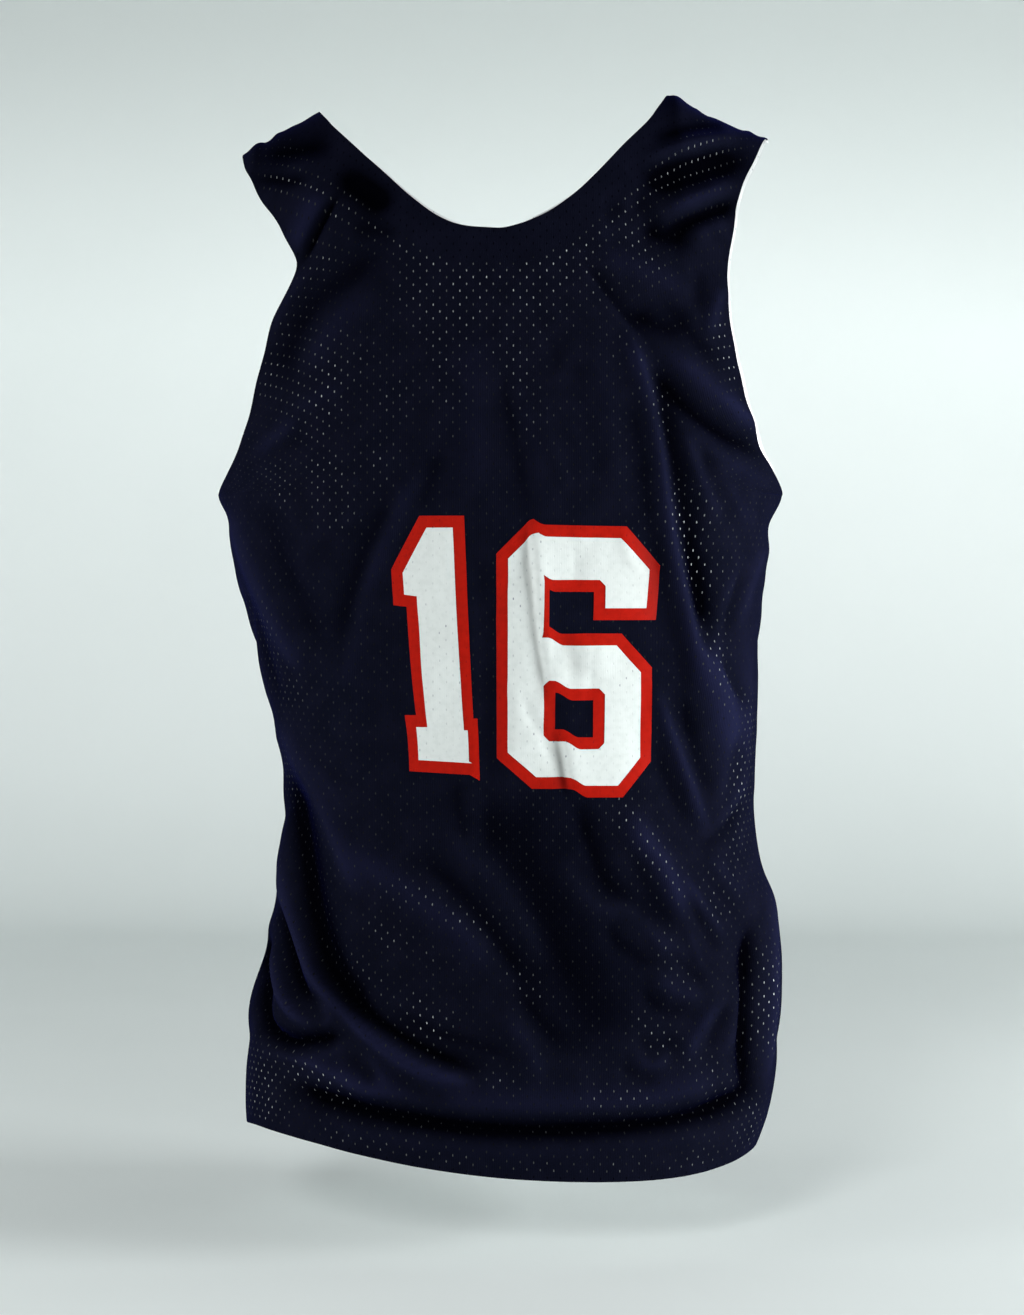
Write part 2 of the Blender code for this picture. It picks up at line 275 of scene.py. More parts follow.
def yoke_place(panel, across, level):
    """Reach and depth of the yoke's rings, before they lean over the shoulder."""
    turn = across * armhole_turn(panel, across, level)
    return ring_point(yoke_girth(level), turn, yoke_depth[panel](level))


def place_on_panel(panel, across, level):
    """Reach, depth and height of the smooth cloth: level is -1 at the hem, 0 at the armpit, 1 on top."""
    low = np.minimum(level, 0.0)
    low_height = ARMPIT_HEIGHT + (ARMPIT_HEIGHT - hem_height(across)) * low
    low_reach, low_depth = torso_place(panel, across, low_height)
    high = np.maximum(level, 0.0)
    tilt = high * np.pi / 2
    high_reach, high_depth = yoke_place(panel, across, high)
    carried = 1 - ease(high / CARRY)
    top_reach, top_depth = torso_place(panel, across, low_height * 0 + ARMPIT_HEIGHT)
    foot_reach, foot_depth = yoke_place(panel, across, high * 0)
    high_reach = high_reach + carried * (top_reach - foot_reach)
    high_depth = high_depth + carried * (top_depth - foot_depth)
    high_height = ARMPIT_HEIGHT + (ridge_height(high_reach) - ARMPIT_HEIGHT) * np.sin(tilt)
    high_depth = high_depth * np.cos(tilt) * (1 + SHOULDER_ROUNDNESS * np.sin(tilt) ** 2)
    above = level > 0
    return (
        np.where(above, high_reach, low_reach),
        np.where(above, high_depth, low_depth),
        np.where(above, high_height, low_height),
    )


print(f"neck edge: lowest level {neck_bottom('back'):.3f} behind, {neck_bottom('front'):.3f} in front")

# %% [markdown]
# ## From the camera's picture to the cloth
# Drawing is easiest over the camera's own picture, so the lines drawn on the back are given by the
# pixels they pass, column and row. The ray through a pixel meets the cloth at one place. A fine grid of
# points on the plain back is projected once, the point nearest to the pixel says how far away the cloth
# is there, and that distance turns the pixel into reach and height. Whole millimetres are fine enough.

# %% The place under a pixel
SURVEY_ACROSS, SURVEY_LEVELS = 401, 300
YOKE_START = 0.001
MILLIMETRES = 1000


def surveyed_back():
    """Column, row and distance from the eye of each point in a fine grid on the plain back."""
    torso_levels = np.linspace(-1, 0, SURVEY_LEVELS)
    yoke_levels = np.linspace(YOKE_START, 1, SURVEY_LEVELS)
    levels = np.concatenate((torso_levels, yoke_levels))
    across, level = np.meshgrid(np.linspace(-1, 1, SURVEY_ACROSS), levels)
    reach, depth, height = place_on_panel("back", across.ravel(), level.ravel())
    away = EYE[1] - depth
    column = EYE_COLUMN + FOCAL_PIXELS * reach / away
    row = EYE_ROW - FOCAL_PIXELS * (height - EYE[2]) / away
    return column, row, away


BACK_COLUMNS, BACK_ROWS, BACK_AWAY = surveyed_back()


def under_pixel(column, row):
    """Reach and height of the plain back under a pixel, to the millimetre."""
    nearest = np.argmin((BACK_COLUMNS - column) ** 2 + (BACK_ROWS - row) ** 2)
    away = float(BACK_AWAY[nearest])
    reach = (column - EYE_COLUMN) * away / FOCAL_PIXELS
    height = EYE[2] + (EYE_ROW - row) * away / FOCAL_PIXELS
    return round(reach, 3), round(height, 3)


def in_metres(x, y):
    """A point given in millimetres."""
    return x / MILLIMETRES, y / MILLIMETRES


def line_on(panel, line):
    """A line's points in metres. They are given in pixels on the back and in millimetres elsewhere."""
    place = under_pixel if panel == "back" else in_metres
    return tuple(place(*point) for point in line)


print(f"{BACK_AWAY.size} points surveyed, {BACK_AWAY.min():.3f} to {BACK_AWAY.max():.3f} m away")

# %% [markdown]
# ## Creases
# Soft cloth shows what it does by its creases: they fan out from the armpits, hang from the shoulder
# blades and swing round above the hem. A cloth simulation would give other creases each time a number
# changes, so the main ones are listed. Each is a bent line with a rise (below 0 for a hollow)
# and two spreads, one for each hand of somebody walking along it. A small spread on one hand makes the
# steep side of a pleat. Spreads and rises are in millimetres. Lines on the back are pixels of the
# camera's picture, those on the front are reach and height in millimetres, and those round the sides
# are depth (back above 0) and height.

# %% Table of creases
Fold = namedtuple("Fold", "panel left_hand right_hand rise line")


def creases(panel, *rows):
    """Creases of a panel. A row has the spreads on both hands, the rise and the points of the line."""
    return tuple(
        Fold(panel, left / MILLIMETRES, right / MILLIMETRES, rise / MILLIMETRES, line_on(panel, line))
        for left, right, rise, *line in rows
    )


BACK_FOLDS = creases(
    "back",
    # Left strap and shoulder
    (3, 14, 5.0, (331, 190), (318, 211), (306, 235), (298, 258)),
    (3, 3, -4.6, (338, 193), (329, 208), (317, 231), (303, 262)),
    (10, 12, -4.8, (338, 172), (362, 186), (392, 208)),
    (7, 7, -2.0, (352, 226), (378, 229), (400, 232)),
    (4, 5, 0.6, (262, 172), (295, 167), (325, 163), (345, 164)),
    (6, 6, -2.4, (258, 178), (285, 180), (312, 180)),
    (13, 11, -3.0, (256, 158), (290, 150), (334, 144)),
    (12, 12, -4.0, (386, 248), (354, 273), (322, 298), (298, 332), (276, 382)),
    (11, 12, 3.0, (378, 286), (346, 310), (322, 345), (303, 380)),
    (6, 7, 3.0, (316, 262), (298, 286), (282, 314), (268, 348)),
    (7, 7, 3.2, (258, 456), (276, 440), (300, 416)),
    (7, 7, 2.0, (296, 412), (320, 396), (346, 386)),
    (6, 6, -1.4, (270, 462), (292, 444), (316, 428)),
    # Right strap
    (5, 5, 3.0, (640, 158), (668, 151), (700, 142), (738, 137)),
    (12, 12, -5.6, (636, 186), (672, 176), (704, 167), (748, 156)),
    (6, 8, 4.2, (658, 214), (684, 203), (706, 193), (732, 182)),
    (8, 7, -4.8, (670, 230), (700, 218), (722, 208), (740, 198)),
    (7, 7, -2.8, (652, 138), (684, 129), (722, 124)),
    (6, 6, 2.4, (690, 236), (706, 228), (726, 220)),
    (11, 10, -3.6, (640, 226), (664, 236), (692, 242)),
    (10, 10, -2.0, (604, 204), (628, 212), (648, 196)),
    (6, 6, 3.0, (724, 282), (715, 304), (710, 324), (706, 342)),
    (6, 7, -2.2, (700, 268), (698, 292), (696, 312)),
    (8, 8, 1.6, (592, 236), (614, 222), (636, 196)),
    # From the right shoulder blade to the armpit
    (8, 3, -3.4, (578, 256), (602, 287), (626, 316), (650, 344)),
    (9, 7, -4.6, (628, 306), (654, 322), (684, 334)),
    (11, 12, 2.6, (588, 248), (624, 262), (658, 276), (694, 296)),
    (6, 6, -3.4, (652, 294), (676, 313), (692, 337), (720, 364)),
    (9, 8, 4.0, (655, 346), (688, 370), (716, 396), (758, 436)),
    (4, 4, 1.6, (712, 390), (734, 408), (752, 428)),
    (7, 8, -6.2, (646, 360), (680, 400), (714, 428), (762, 456)),
    (8, 8, 2.4, (674, 412), (700, 440), (732, 462), (770, 490)),
    (5, 6, 3.0, (676, 420), (692, 462), (708, 500), (722, 530)),
    (5, 5, -2.6, (698, 440), (712, 474), (732, 512)),
    (6, 5, 2.4, (708, 466), (728, 494), (748, 528)),
    # The long fold beside the number, and the right side
    (5, 7, 5.4, (624, 330), (644, 376), (656, 430), (664, 490), (672, 545), (684, 600), (695, 650),
     (706, 690)),
    (9, 9, -5.4, (654, 384), (672, 446), (688, 520), (702, 590), (714, 640)),
    (6, 7, -3.0, (692, 540), (701, 590), (706, 634)),
    (7, 12, -2.4, (628, 400), (642, 460), (650, 520), (664, 600), (680, 670), (692, 740)),
    (12, 11, 7.0, (702, 646), (713, 680), (721, 712), (727, 750)),
    (6, 6, 2.4, (724, 724), (722, 764), (714, 806)),
    (5, 4, -3.2, (718, 650), (726, 676), (744, 706)),
    (5, 5, 4.4, (654, 684), (664, 716), (676, 752), (702, 828)),
    (6, 6, -3.2, (684, 700), (696, 750), (712, 800)),
    (6, 6, -2.4, (652, 740), (664, 776), (684, 824)),
    (6, 6, 3.4, (764, 540), (750, 574), (740, 604), (732, 634)),
    (6, 6, 2.6, (738, 560), (722, 600), (714, 640), (712, 664)),
    (5, 5, -2.6, (744, 566), (732, 600), (724, 640)),
    (7, 8, 2.6, (742, 622), (745, 690), (741, 770)),
    (6, 6, 2.6, (746, 770), (728, 806), (708, 838)),
    (6, 6, -3.0, (744, 804), (726, 824), (700, 850)),
    (10, 9, 5.4, (624, 802), (640, 838), (660, 868), (684, 922)),
    (7, 10, -2.4, (626, 848), (648, 884), (672, 932)),
    (4, 5, 2.6, (678, 872), (698, 902), (724, 940)),
    (4, 4, -1.8, (686, 902), (704, 928), (716, 950)),
    (4, 4, 1.6, (684, 924), (692, 944), (700, 966)),
    (5, 5, 2.0, (706, 852), (722, 874), (742, 900)),
    (5, 5, -1.6, (700, 868), (718, 892), (738, 916)),
    (5, 8, -9.0, (750, 918), (748, 960), (746, 1010), (747, 1060), (752, 1100)),
    (6, 6, 4.2, (764, 878), (770, 950), (768, 1020), (762, 1085)),
    # Below the number
    (8, 8, -3.8, (576, 796), (590, 842), (606, 884), (640, 912), (662, 938)),
    (7, 7, 3.2, (556, 852), (576, 888), (600, 908), (626, 908), (652, 934), (690, 972)),
    (6, 6, -2.6, (606, 918), (618, 944), (650, 968)),
    (8, 8, 2.8, (650, 974), (676, 992), (704, 996)),
    (4, 4, -2.4, (664, 946), (684, 968), (706, 986)),
    (6, 6, -3.0, (640, 988), (662, 1010), (692, 1008)),
    (6, 6, 3.2, (684, 1060), (700, 1026), (722, 1000)),
    (5, 5, -2.8, (708, 1050), (716, 1026), (728, 1004)),
    (6, 6, 3.4, (722, 1056), (736, 1020), (741, 976)),
    (4, 4, 2.4, (630, 1056), (650, 1066), (670, 1056)),
    (5, 5, -2.4, (634, 1042), (654, 1046), (676, 1042)),
    (5, 5, -2.4, (618, 1066), (636, 1076), (656, 1078)),
    (7, 7, 3.0, (500, 1010), (522, 1038), (540, 1078)),
    (7, 7, -2.6, (516, 990), (540, 1024), (562, 1052)),
    (32, 34, -3.8, (500, 800), (536, 868), (560, 938), (586, 1000), (606, 1050)),
    (10, 13, 3.6, (350, 848), (410, 890), (460, 930), (494, 976)),
    (9, 8, -3.2, (416, 852), (460, 892), (494, 936), (530, 990)),
    (9, 9, 3.0, (436, 826), (472, 862), (508, 902), (540, 960)),
    (13, 11, -1.0, (480, 812), (520, 880), (556, 950), (590, 1010)),
    (4, 9, -2.4, (459, 770), (460, 808), (464, 850)),
    (8, 8, 0.8, (534, 800), (544, 850), (560, 880)),
    # Left side and the swirl
    (8, 7, 4.6, (230, 498), (242, 540), (258, 582), (280, 630), (308, 676)),
    (10, 10, -2.8, (262, 500), (278, 550), (300, 600), (326, 650)),
    (7, 7, -3.0, (246, 590), (264, 650), (282, 706)),
    (6, 6, 3.8, (416, 468), (402, 505), (388, 535), (374, 572), (362, 612)),
    (8, 7, -3.4, (398, 490), (376, 534), (360, 568), (346, 610), (338, 650)),
    (7, 7, -2.2, (444, 444), (432, 478), (420, 506)),
    (5, 5, 0.9, (374, 508), (346, 521), (320, 532), (298, 548)),
    (7, 5, -0.7, (378, 520), (348, 534), (322, 546), (302, 566)),
    (6, 6, 1.8, (366, 600), (358, 640), (346, 690)),
    (9, 7, 4.0, (282, 712), (296, 752), (318, 796), (344, 856), (364, 900)),
    (4, 4, 1.4, (312, 762), (332, 786), (352, 820)),
    (13, 8, -10.0, (288, 770), (297, 820), (304, 866), (314, 920), (330, 968), (352, 1000),
     (376, 1022)),
    (7, 5, -6.6, (346, 994), (372, 1018), (408, 1042), (450, 1062), (486, 1072)),
    (5, 5, -3.0, (392, 1010), (430, 1030), (474, 1044), (520, 1060)),
    (5, 5, 7.0, (283, 850), (290, 896), (300, 936), (316, 976), (342, 1008), (378, 1040), (418, 1068),
     (470, 1082)),
    (6, 6, -8.0, (279, 896), (286, 940), (297, 980), (320, 1012)),
    (4, 4, 6.5, (271, 924), (277, 970), (286, 1000), (306, 1020), (326, 1026)),
    (4, 4, 2.4, (322, 1028), (331, 1016), (322, 1002)),
    (6, 6, -10.0, (272, 922), (265, 970), (264, 1020), (290, 1040), (344, 1036)),
    (6, 6, 3.4, (254, 1052), (300, 1060), (336, 1074), (372, 1092), (404, 1096)),
    (4, 4, 2.4, (306, 1046), (328, 1053), (348, 1044)),
    (4, 4, 2.0, (366, 1052), (382, 1070), (388, 1090)),
    (5, 5, -2.4, (350, 1056), (368, 1070), (376, 1086)),
    (6, 6, -2.6, (396, 1072), (424, 1092), (452, 1100)),
    # Above the hem
    (7, 8, -10.0, (290, 1083), (340, 1101), (400, 1117), (480, 1129), (560, 1131), (640, 1124),
     (700, 1112), (752, 1090)),
    (4, 4, -2.6, (258, 1056), (300, 1066), (346, 1082)),
    (14, 10, 3.4, (300, 1070), (410, 1094), (500, 1104), (580, 1104), (650, 1098), (716, 1078)),
    (4, 4, 1.6, (640, 1120), (680, 1112), (712, 1104)),
    (7, 7, 2.4, (330, 1122), (420, 1140), (520, 1148), (620, 1142), (700, 1130)),
    # Across the number and the middle
    (10, 4, 2.2, (533, 518), (537, 575), (542, 630), (551, 694)),
    (3, 6, -2.0, (527, 518), (530, 560), (534, 600), (539, 645), (546, 700)),
    (9, 9, 1.4, (586, 628), (592, 655), (598, 682)),
    (8, 8, -1.4, (566, 630), (570, 652), (576, 676)),
    (5, 8, -1.1, (549, 640), (556, 712), (566, 792)),
    (9, 4, 1.8, (557, 728), (565, 752), (571, 778), (576, 804)),
    (3, 6, -2.0, (552, 728), (561, 752), (566, 778), (571, 804)),
    (6, 9, 0.8, (466, 560), (474, 640), (478, 740), (479, 800)),
    (9, 6, -1.3, (478, 560), (485, 650), (487, 740), (486, 840)),
    (5, 11, -1.8, (500, 376), (514, 430), (522, 480), (528, 520)),
    (9, 6, 1.0, (516, 380), (530, 430), (538, 480), (544, 520)),
    (13, 13, 1.8, (470, 330), (474, 400), (474, 490)),
    (8, 12, 0.9, (590, 330), (606, 400), (618, 470), (622, 520)),
    (9, 9, -0.9, (570, 340), (586, 410), (596, 480)),
)
FRONT_FOLDS = creases(
    "front",
    # Straps and chest
    (8, 10, -3.2, (-150, -44), (-132, -62), (-126, -90)),
    (9, 9, 2.8, (-166, -70), (-146, -96), (-140, -130)),
    (8, 9, -3.4, (140, -36), (126, -58), (124, -92)),
    (9, 9, 2.6, (158, -60), (142, -90), (140, -120)),
    (12, 10, -5.5, (70, -170), (110, -215), (172, -262)),
    (10, 9, 3.6, (84, -154), (124, -190), (162, -226)),
    (10, 13, -5.0, (-75, -180), (-118, -222), (-174, -258)),
    (10, 10, 3.4, (-86, -158), (-124, -192), (-158, -222)),
    (9, 10, -1.8, (-30, -166), (0, -176), (34, -165)),
    (9, 9, 2.8, (110, -240), (146, -262), (180, -276)),
    (9, 9, 2.8, (-118, -246), (-150, -268), (-182, -280)),
    # Long hanging folds
    (12, 14, 6.0, (-110, -250), (-100, -380), (-122, -500)),
    (11, 12, -4.0, (-84, -262), (-76, -372), (-92, -470)),
    (14, 12, 5.5, (98, -260), (88, -390), (112, -520)),
    (12, 10, -3.6, (72, -278), (64, -380), (80, -480)),
    (9, 10, -3.2, (126, -300), (120, -400), (140, -500)),
    (12, 12, 2.2, (-16, -210), (-24, -300), (-12, -400)),
    (11, 11, -2.2, (26, -230), (18, -320), (30, -400)),
    # Waist and hem
    (13, 12, -5.0, (-40, -400), (0, -500), (60, -590)),
    (12, 12, 3.2, (-70, -430), (-30, -540), (30, -620)),
    (11, 12, -3.6, (-128, -510), (-100, -580), (-60, -640)),
    (14, 14, 6.0, (-60, -560), (-40, -640), (-50, -720)),
    (10, 11, -3.6, (-20, -600), (-8, -660), (-14, -724)),
    (13, 10, -6.0, (30, -600), (60, -670), (130, -700)),
    (12, 11, 3.4, (50, -560), (90, -620), (150, -650)),
    (11, 11, -3.4, (-110, -620), (-104, -670), (-112, -722)),
    (11, 12, 3.6, (-150, -560), (-144, -620), (-150, -690)),
    (10, 10, -3.0, (136, -540), (130, -600), (150, -660)),
)
LEFT_FOLDS = creases(
    "left",
    (10, 9, 3.0, (30, -292), (4, -330), (-36, -352)),
    (10, 10, -2.6, (46, -330), (10, -376), (-50, -398)),
    (11, 11, 2.4, (60, -420), (0, -446), (-64, -436)),
    (11, 11, -2.4, (50, -476), (6, -500), (-58, -486)),
    (12, 11, 2.2, (56, -548), (10, -580), (-60, -560)),
    (12, 12, -2.4, (50, -640), (0, -660), (-50, -636)),
)
RIGHT_FOLDS = creases(
    "right",
    (10, 10, 2.6, (34, -296), (0, -330), (-40, -346)),
    (10, 10, -2.2, (50, -340), (10, -380), (-44, -402)),
    (11, 11, 2.6, (-10, -430), (-24, -520), (-16, -610)),
    (10, 11, -3.4, (-40, -420), (-52, -510), (-44, -600)),
    (12, 11, -2.2, (40, -640), (0, -664), (-56, -650)),
)
FOLDS = BACK_FOLDS + FRONT_FOLDS + LEFT_FOLDS + RIGHT_FOLDS
print(f"{len(FOLDS)} creases placed by hand")

# %% [markdown]
# Between the main creases, real cloth is never quite smooth. A few hundred faint ones fill it in. They
# come from a random generator with a fixed seed, so they fall in the same places each time the script
# runs. Most of them hang down, because the weight of the cloth pulls them straight.

# %% Faint creases
FAINT_SEED = 16
FAINT_COUNT = {"back": 150, "front": 150}
FAINT_LENGTH = (0.030, 0.100)
FAINT_SPREAD = (0.0045, 0.0090)
FAINT_RISE = (0.0003, 0.0009)


def faint_folds(panel, seed):
    """Short weak creases, most of them hanging down, scattered over a panel."""
    draw = np.random.default_rng(seed)
    made = []
    for _ in range(FAINT_COUNT[panel]):
        middle = np.array((draw.uniform(-0.19, 0.19), draw.uniform(-0.72, -0.06)))
        lean = draw.normal(0.0, 0.45) - math.pi / 2
        half = draw.uniform(*FAINT_LENGTH) / 2 * np.array((math.cos(lean), math.sin(lean)))
        bow = draw.uniform(-0.12, 0.12) * np.array((-half[1], half[0])) * 2
        spread = draw.uniform(*FAINT_SPREAD)
        rise = draw.uniform(*FAINT_RISE) * draw.choice((-1.0, 1.0))
        line = (middle - half, middle + bow, middle + half)
        made.append(Fold(panel, spread, spread * draw.uniform(0.7, 1.4), rise, line))
    return made


ALL_FOLDS = list(FOLDS) + faint_folds("back", FAINT_SEED) + faint_folds("front", FAINT_SEED + 1)
print(f"{len(ALL_FOLDS)} creases with the faint ones")

# %% [markdown]
# Each crease line is a curve cut into short straight stretches. For every point of the cloth, the
# nearest place on the line gives two things: how far the point is from the crease, and how far along
# it lies, which fades the crease in and out. NumPy does this for all points at once.

# %% The rise of the cloth at a place
FOLD_STRETCHES = 5
RUN_ON = 0.25
FADE_SHARE = 0.34
FADE_LENGTH = 0.035
CREST = 1.75
SEAM_CALM = 0.020
SIDE_CALM = 0.075
PUCKER_DEPTH = 0.0007
PUCKER_REACH = 0.010
PUCKER_PITCH = 0.0125
PUCKER_UNEVEN, PUCKER_DRIFT = 0.6, 0.043
SIDE_FOLDS_END = 0.08
# How deep a crease must be for full painted shade (less on the straps, between these heights), and how
# high for a full painted highlight.
FULL_HOLLOW, FULL_HOLLOW_ON_STRAPS = 0.0062, 0.0030
STRAP_SHADE = (-0.135, -0.080)
FULL_CREST, CREST_SHARPNESS = 0.0056, 1.5
FOLD_REACH = 3.0
NORMAL_STEP = 2e-4


def bent_line(fold):
    """A smooth curve through the crease's points, which runs on a little past its ends."""
    points = np.array(fold.line)
    slopes = np.gradient(points, axis=0)
    t = np.linspace(0, len(points) - 1, FOLD_STRETCHES * (len(points) - 1) + 1)[:, None]
    i = np.minimum(t.astype(int), len(points) - 2).ravel()
    t = t - i[:, None]
    near = (1 + 2 * t) * (1 - t) ** 2 * points[i] + t * (1 - t) ** 2 * slopes[i]
    far = t * t * (3 - 2 * t) * points[i + 1] + t * t * (t - 1) * slopes[i + 1]
    curve = near + far
    before = curve[0] - (curve[1] - curve[0]) * FOLD_STRETCHES * RUN_ON
    after = curve[-1] + (curve[-1] - curve[-2]) * FOLD_STRETCHES * RUN_ON
    return np.concatenate((before[None], curve, after[None]))


def rise_of(fold, x, y):
    """What one crease adds at each of many places."""
    line = bent_line(fold)
    far = FOLD_REACH * max(fold.left_hand, fold.right_hand)
    low, high = line.min(0) - far, line.max(0) + far
    near = (x > low[0]) & (x < high[0]) & (y > low[1]) & (y < high[1])
    total = np.zeros(len(x))
    if not near.any():
        return total
    points = np.stack((x[near], y[near]), axis=1)[:, None, :]
    starts, steps = line[:-1][None], np.diff(line, axis=0)[None]
    along = np.clip(((points - starts) * steps).sum(2) / (steps ** 2).sum(2), 0, 1)
    gaps = points - starts - along[..., None] * steps
    distances = np.hypot(gaps[..., 0], gaps[..., 1])
    nearest = distances.argmin(1)
    row = np.arange(len(nearest))
    distance = distances[row, nearest]
    step = steps[0, nearest]
    gap = gaps[row, nearest]
    on_left = step[:, 0] * gap[:, 1] - step[:, 1] * gap[:, 0] > 0
    spread = np.where(on_left, fold.left_hand, fold.right_hand)
    lengths = np.concatenate(([0.0], np.cumsum(np.hypot(*steps[0].T))))
    travelled = lengths[nearest] + along[row, nearest] * np.diff(lengths)[nearest]
    from_end = np.minimum(travelled, lengths[-1] - travelled)
    fade = ease(from_end / min(FADE_SHARE * lengths[-1], FADE_LENGTH))
    total[near] = fold.rise * fade * np.exp(-((distance / spread) ** CREST))
    return total


def fold_rise(panel, reach, depth, height, across, level):
    """Sum of the creases, calm at the seams so that the panels still meet there."""
    calm = ease(depth / SEAM_CALM)
    total = calm * sum(rise_of(fold, reach, height) for fold in ALL_FOLDS if fold.panel == panel)
    facing = depth if panel == "back" else -depth
    round_the_side = (1 - ease(depth / SIDE_CALM)) * (1 - ease(level / SIDE_FOLDS_END))
    for side, sign in (("left", -1), ("right", 1)):
        weight = round_the_side * (np.sign(across) == sign)
        total += weight * sum(rise_of(fold, facing, height) for fold in ALL_FOLDS if fold.panel == side)
    on_seam = np.exp(-((depth / PUCKER_REACH) ** 2)) * (level > STRAP_FOOT)
    uneven = 1.0 + PUCKER_UNEVEN * np.sin(reach * 2 * np.pi / PUCKER_DRIFT)
    return total + PUCKER_DEPTH * on_seam * uneven * np.sin(reach * 2 * np.pi / PUCKER_PITCH)


def painted_shade_and_highlight(panel, reach, height):
    """Masks from 0 to 1 for painted shade in the creases' hollows and a painted highlight on their crests.
    """
    net = sum(rise_of(fold, reach, height) for fold in FOLDS if fold.panel == panel)
    on_strap = ease((height - STRAP_SHADE[0]) / (STRAP_SHADE[1] - STRAP_SHADE[0]))
    full = FULL_HOLLOW + (FULL_HOLLOW_ON_STRAPS - FULL_HOLLOW) * on_strap
    return np.clip(-net / full, 0, 1), np.clip(net / FULL_CREST, 0, 1) ** CREST_SHARPNESS


def world_points(panel, reach, depth, height):
    """World places: the wearer's right is -X and the back is +Y."""
    facing = 1 if panel == "back" else -1
    return np.stack((-reach, facing * depth, height), axis=1)


def smooth_normals(panel, across, level):
    """Unit normals of the cloth without its creases, level at the seams."""
    step = NORMAL_STEP
    right = world_points(panel, *place_on_panel(panel, across + step, level))
    left = world_points(panel, *place_on_panel(panel, across - step, level))
    above = world_points(panel, *place_on_panel(panel, across, level + step))
    below = world_points(panel, *place_on_panel(panel, across, level - step))
    normals = np.cross(right - left, above - below)
    if panel == "front":
        normals = -normals
    on_seam = (level >= 1) | ((level <= 0) & (np.abs(across) >= 1))
    normals[on_seam, 1] = 0
    return normals / np.linalg.norm(normals, axis=1)[:, None]


def creased_points(panel, across, level):
    """The middle surface between the two layers, with all its creases."""
    reach, depth, height = place_on_panel(panel, across, level)
    rise = fold_rise(panel, reach, depth, height, across, level)
    normals = smooth_normals(panel, across, level)
    return world_points(panel, reach, depth, height) + rise[:, None] * normals


# %% [markdown]
# ## Weave coordinates
# The mesh is knitted flat, so its holes keep their spacing wherever the cloth goes. That calls for a
# UV map in real metres: U is measured round the body from the middle line, and V up the cloth from the
# hem. Both are lengths along the smooth cloth, added up in short steps.

# %% Metres along the cloth
ROUND_STEPS = 20
CLIMB_STEPS = 16


def weave_place(panel, across, level):
    """Metres round from the middle line, and metres up from the hem."""
    metres_round = np.zeros(len(across))
    before = place_on_panel(panel, across * 0.0, level)
    for share in np.linspace(0, 1, ROUND_STEPS + 1)[1:]:
        after = place_on_panel(panel, across * share, level)
        metres_round += np.hypot(after[0] - before[0], after[1] - before[1])
        before = after
    low = np.minimum(level, 0.0)
    metres_up = (ARMPIT_HEIGHT - HEM_HEIGHT) * (1 + low)
    before = place_on_panel(panel, across, level * 0.0 + 1e-9)
    for share in np.linspace(0, 1, CLIMB_STEPS + 1)[1:]:
        after = place_on_panel(panel, across, np.maximum(level, 0.0) * share + 1e-9)
        metres_up += np.hypot(after[1] - before[1], after[2] - before[2])
        before = after
    return np.sign(across) * metres_round, metres_up


# %% [markdown]
# ## The grid of a panel
# A panel is a block of columns from hem to neck, with a smaller block on top of it for each strap. The
# cells are about 3 mm. Both layers have the same grid, so that neither pokes through the other where a
# crease bends them sharply.

# %% Columns and rows
Grid = namedtuple("Grid", "half_neck strap torso yoke strap_rows")
GRIDS = {"back": Grid(52, 36, 158, 88, 44), "front": Grid(44, 30, 134, 72, 38)}
COLUMN_BUNCHING = math.radians(70)
ARMPIT_BUNCHING = 1.4


def column_feet(panel, grid):
    """Place across of each column at the foot of the straps, from left to right."""
    feet = []
    for side in (-1, 1):
        neck = float(neck_across(panel, side, STRAP_FOOT))
        strap = neck + (side - neck) * np.linspace(0, 1, grid.strap + 1)
        shares = np.sin(np.arange(1, grid.half_neck) / grid.half_neck * COLUMN_BUNCHING)
        feet.append(np.concatenate((neck * shares / math.sin(COLUMN_BUNCHING), strap)))
    return np.concatenate((feet[0][::-1], [0.0], feet[1]))


def panel_grid(panel, grid):
    """Across and level of every point, and the four corners of every cell."""
    feet = column_feet(panel, grid)
    columns, rows = len(feet), grid.torso + grid.yoke + 1
    on_strap = np.zeros(columns, bool)
    on_strap[: grid.strap + 1] = on_strap[-grid.strap - 1:] = True
    inner = np.where(on_strap, 0.0, feet)
    tops = np.where(on_strap, STRAP_FOOT, neck_level(panel, inner))
    climb = np.linspace(0, 1, grid.yoke + 1) ** ARMPIT_BUNCHING
    levels = np.concatenate(
        (np.tile(np.linspace(-1, 0, grid.torso + 1)[:-1], (columns, 1)), tops[:, None] * climb), axis=1
    )
    across = [np.repeat(feet, rows)]
    level = [levels.ravel()]
    ids = np.arange(columns * rows).reshape(columns, rows)
    blocks = [ids]
    count = columns * rows
    for side in (-1, 1):
        own = slice(0, grid.strap + 1) if side < 0 else slice(columns - grid.strap - 1, columns)
        climb = np.linspace(STRAP_FOOT, 1, grid.strap_rows + 1)[1:]
        neck = neck_across(panel, side, climb)[None]
        neck_foot = float(neck_across(panel, side, STRAP_FOOT))
        share = ((feet[own] - neck_foot) / (side - neck_foot))[:, None]
        across.append((neck + (side - neck) * share).ravel())
        level.append(np.broadcast_to(climb, (grid.strap + 1, grid.strap_rows)).ravel())
        upper = count + np.arange((grid.strap + 1) * grid.strap_rows).reshape(grid.strap + 1, -1)
        blocks.append(np.concatenate((ids[own, -1:], upper), axis=1))
        count += upper.size
    cells = [
        np.stack((block[:-1, :-1], block[1:, :-1], block[1:, 1:], block[:-1, 1:]), axis=-1).reshape(-1, 4)
        for block in blocks
    ]
    return np.concatenate(across), np.concatenate(level), np.concatenate(cells)


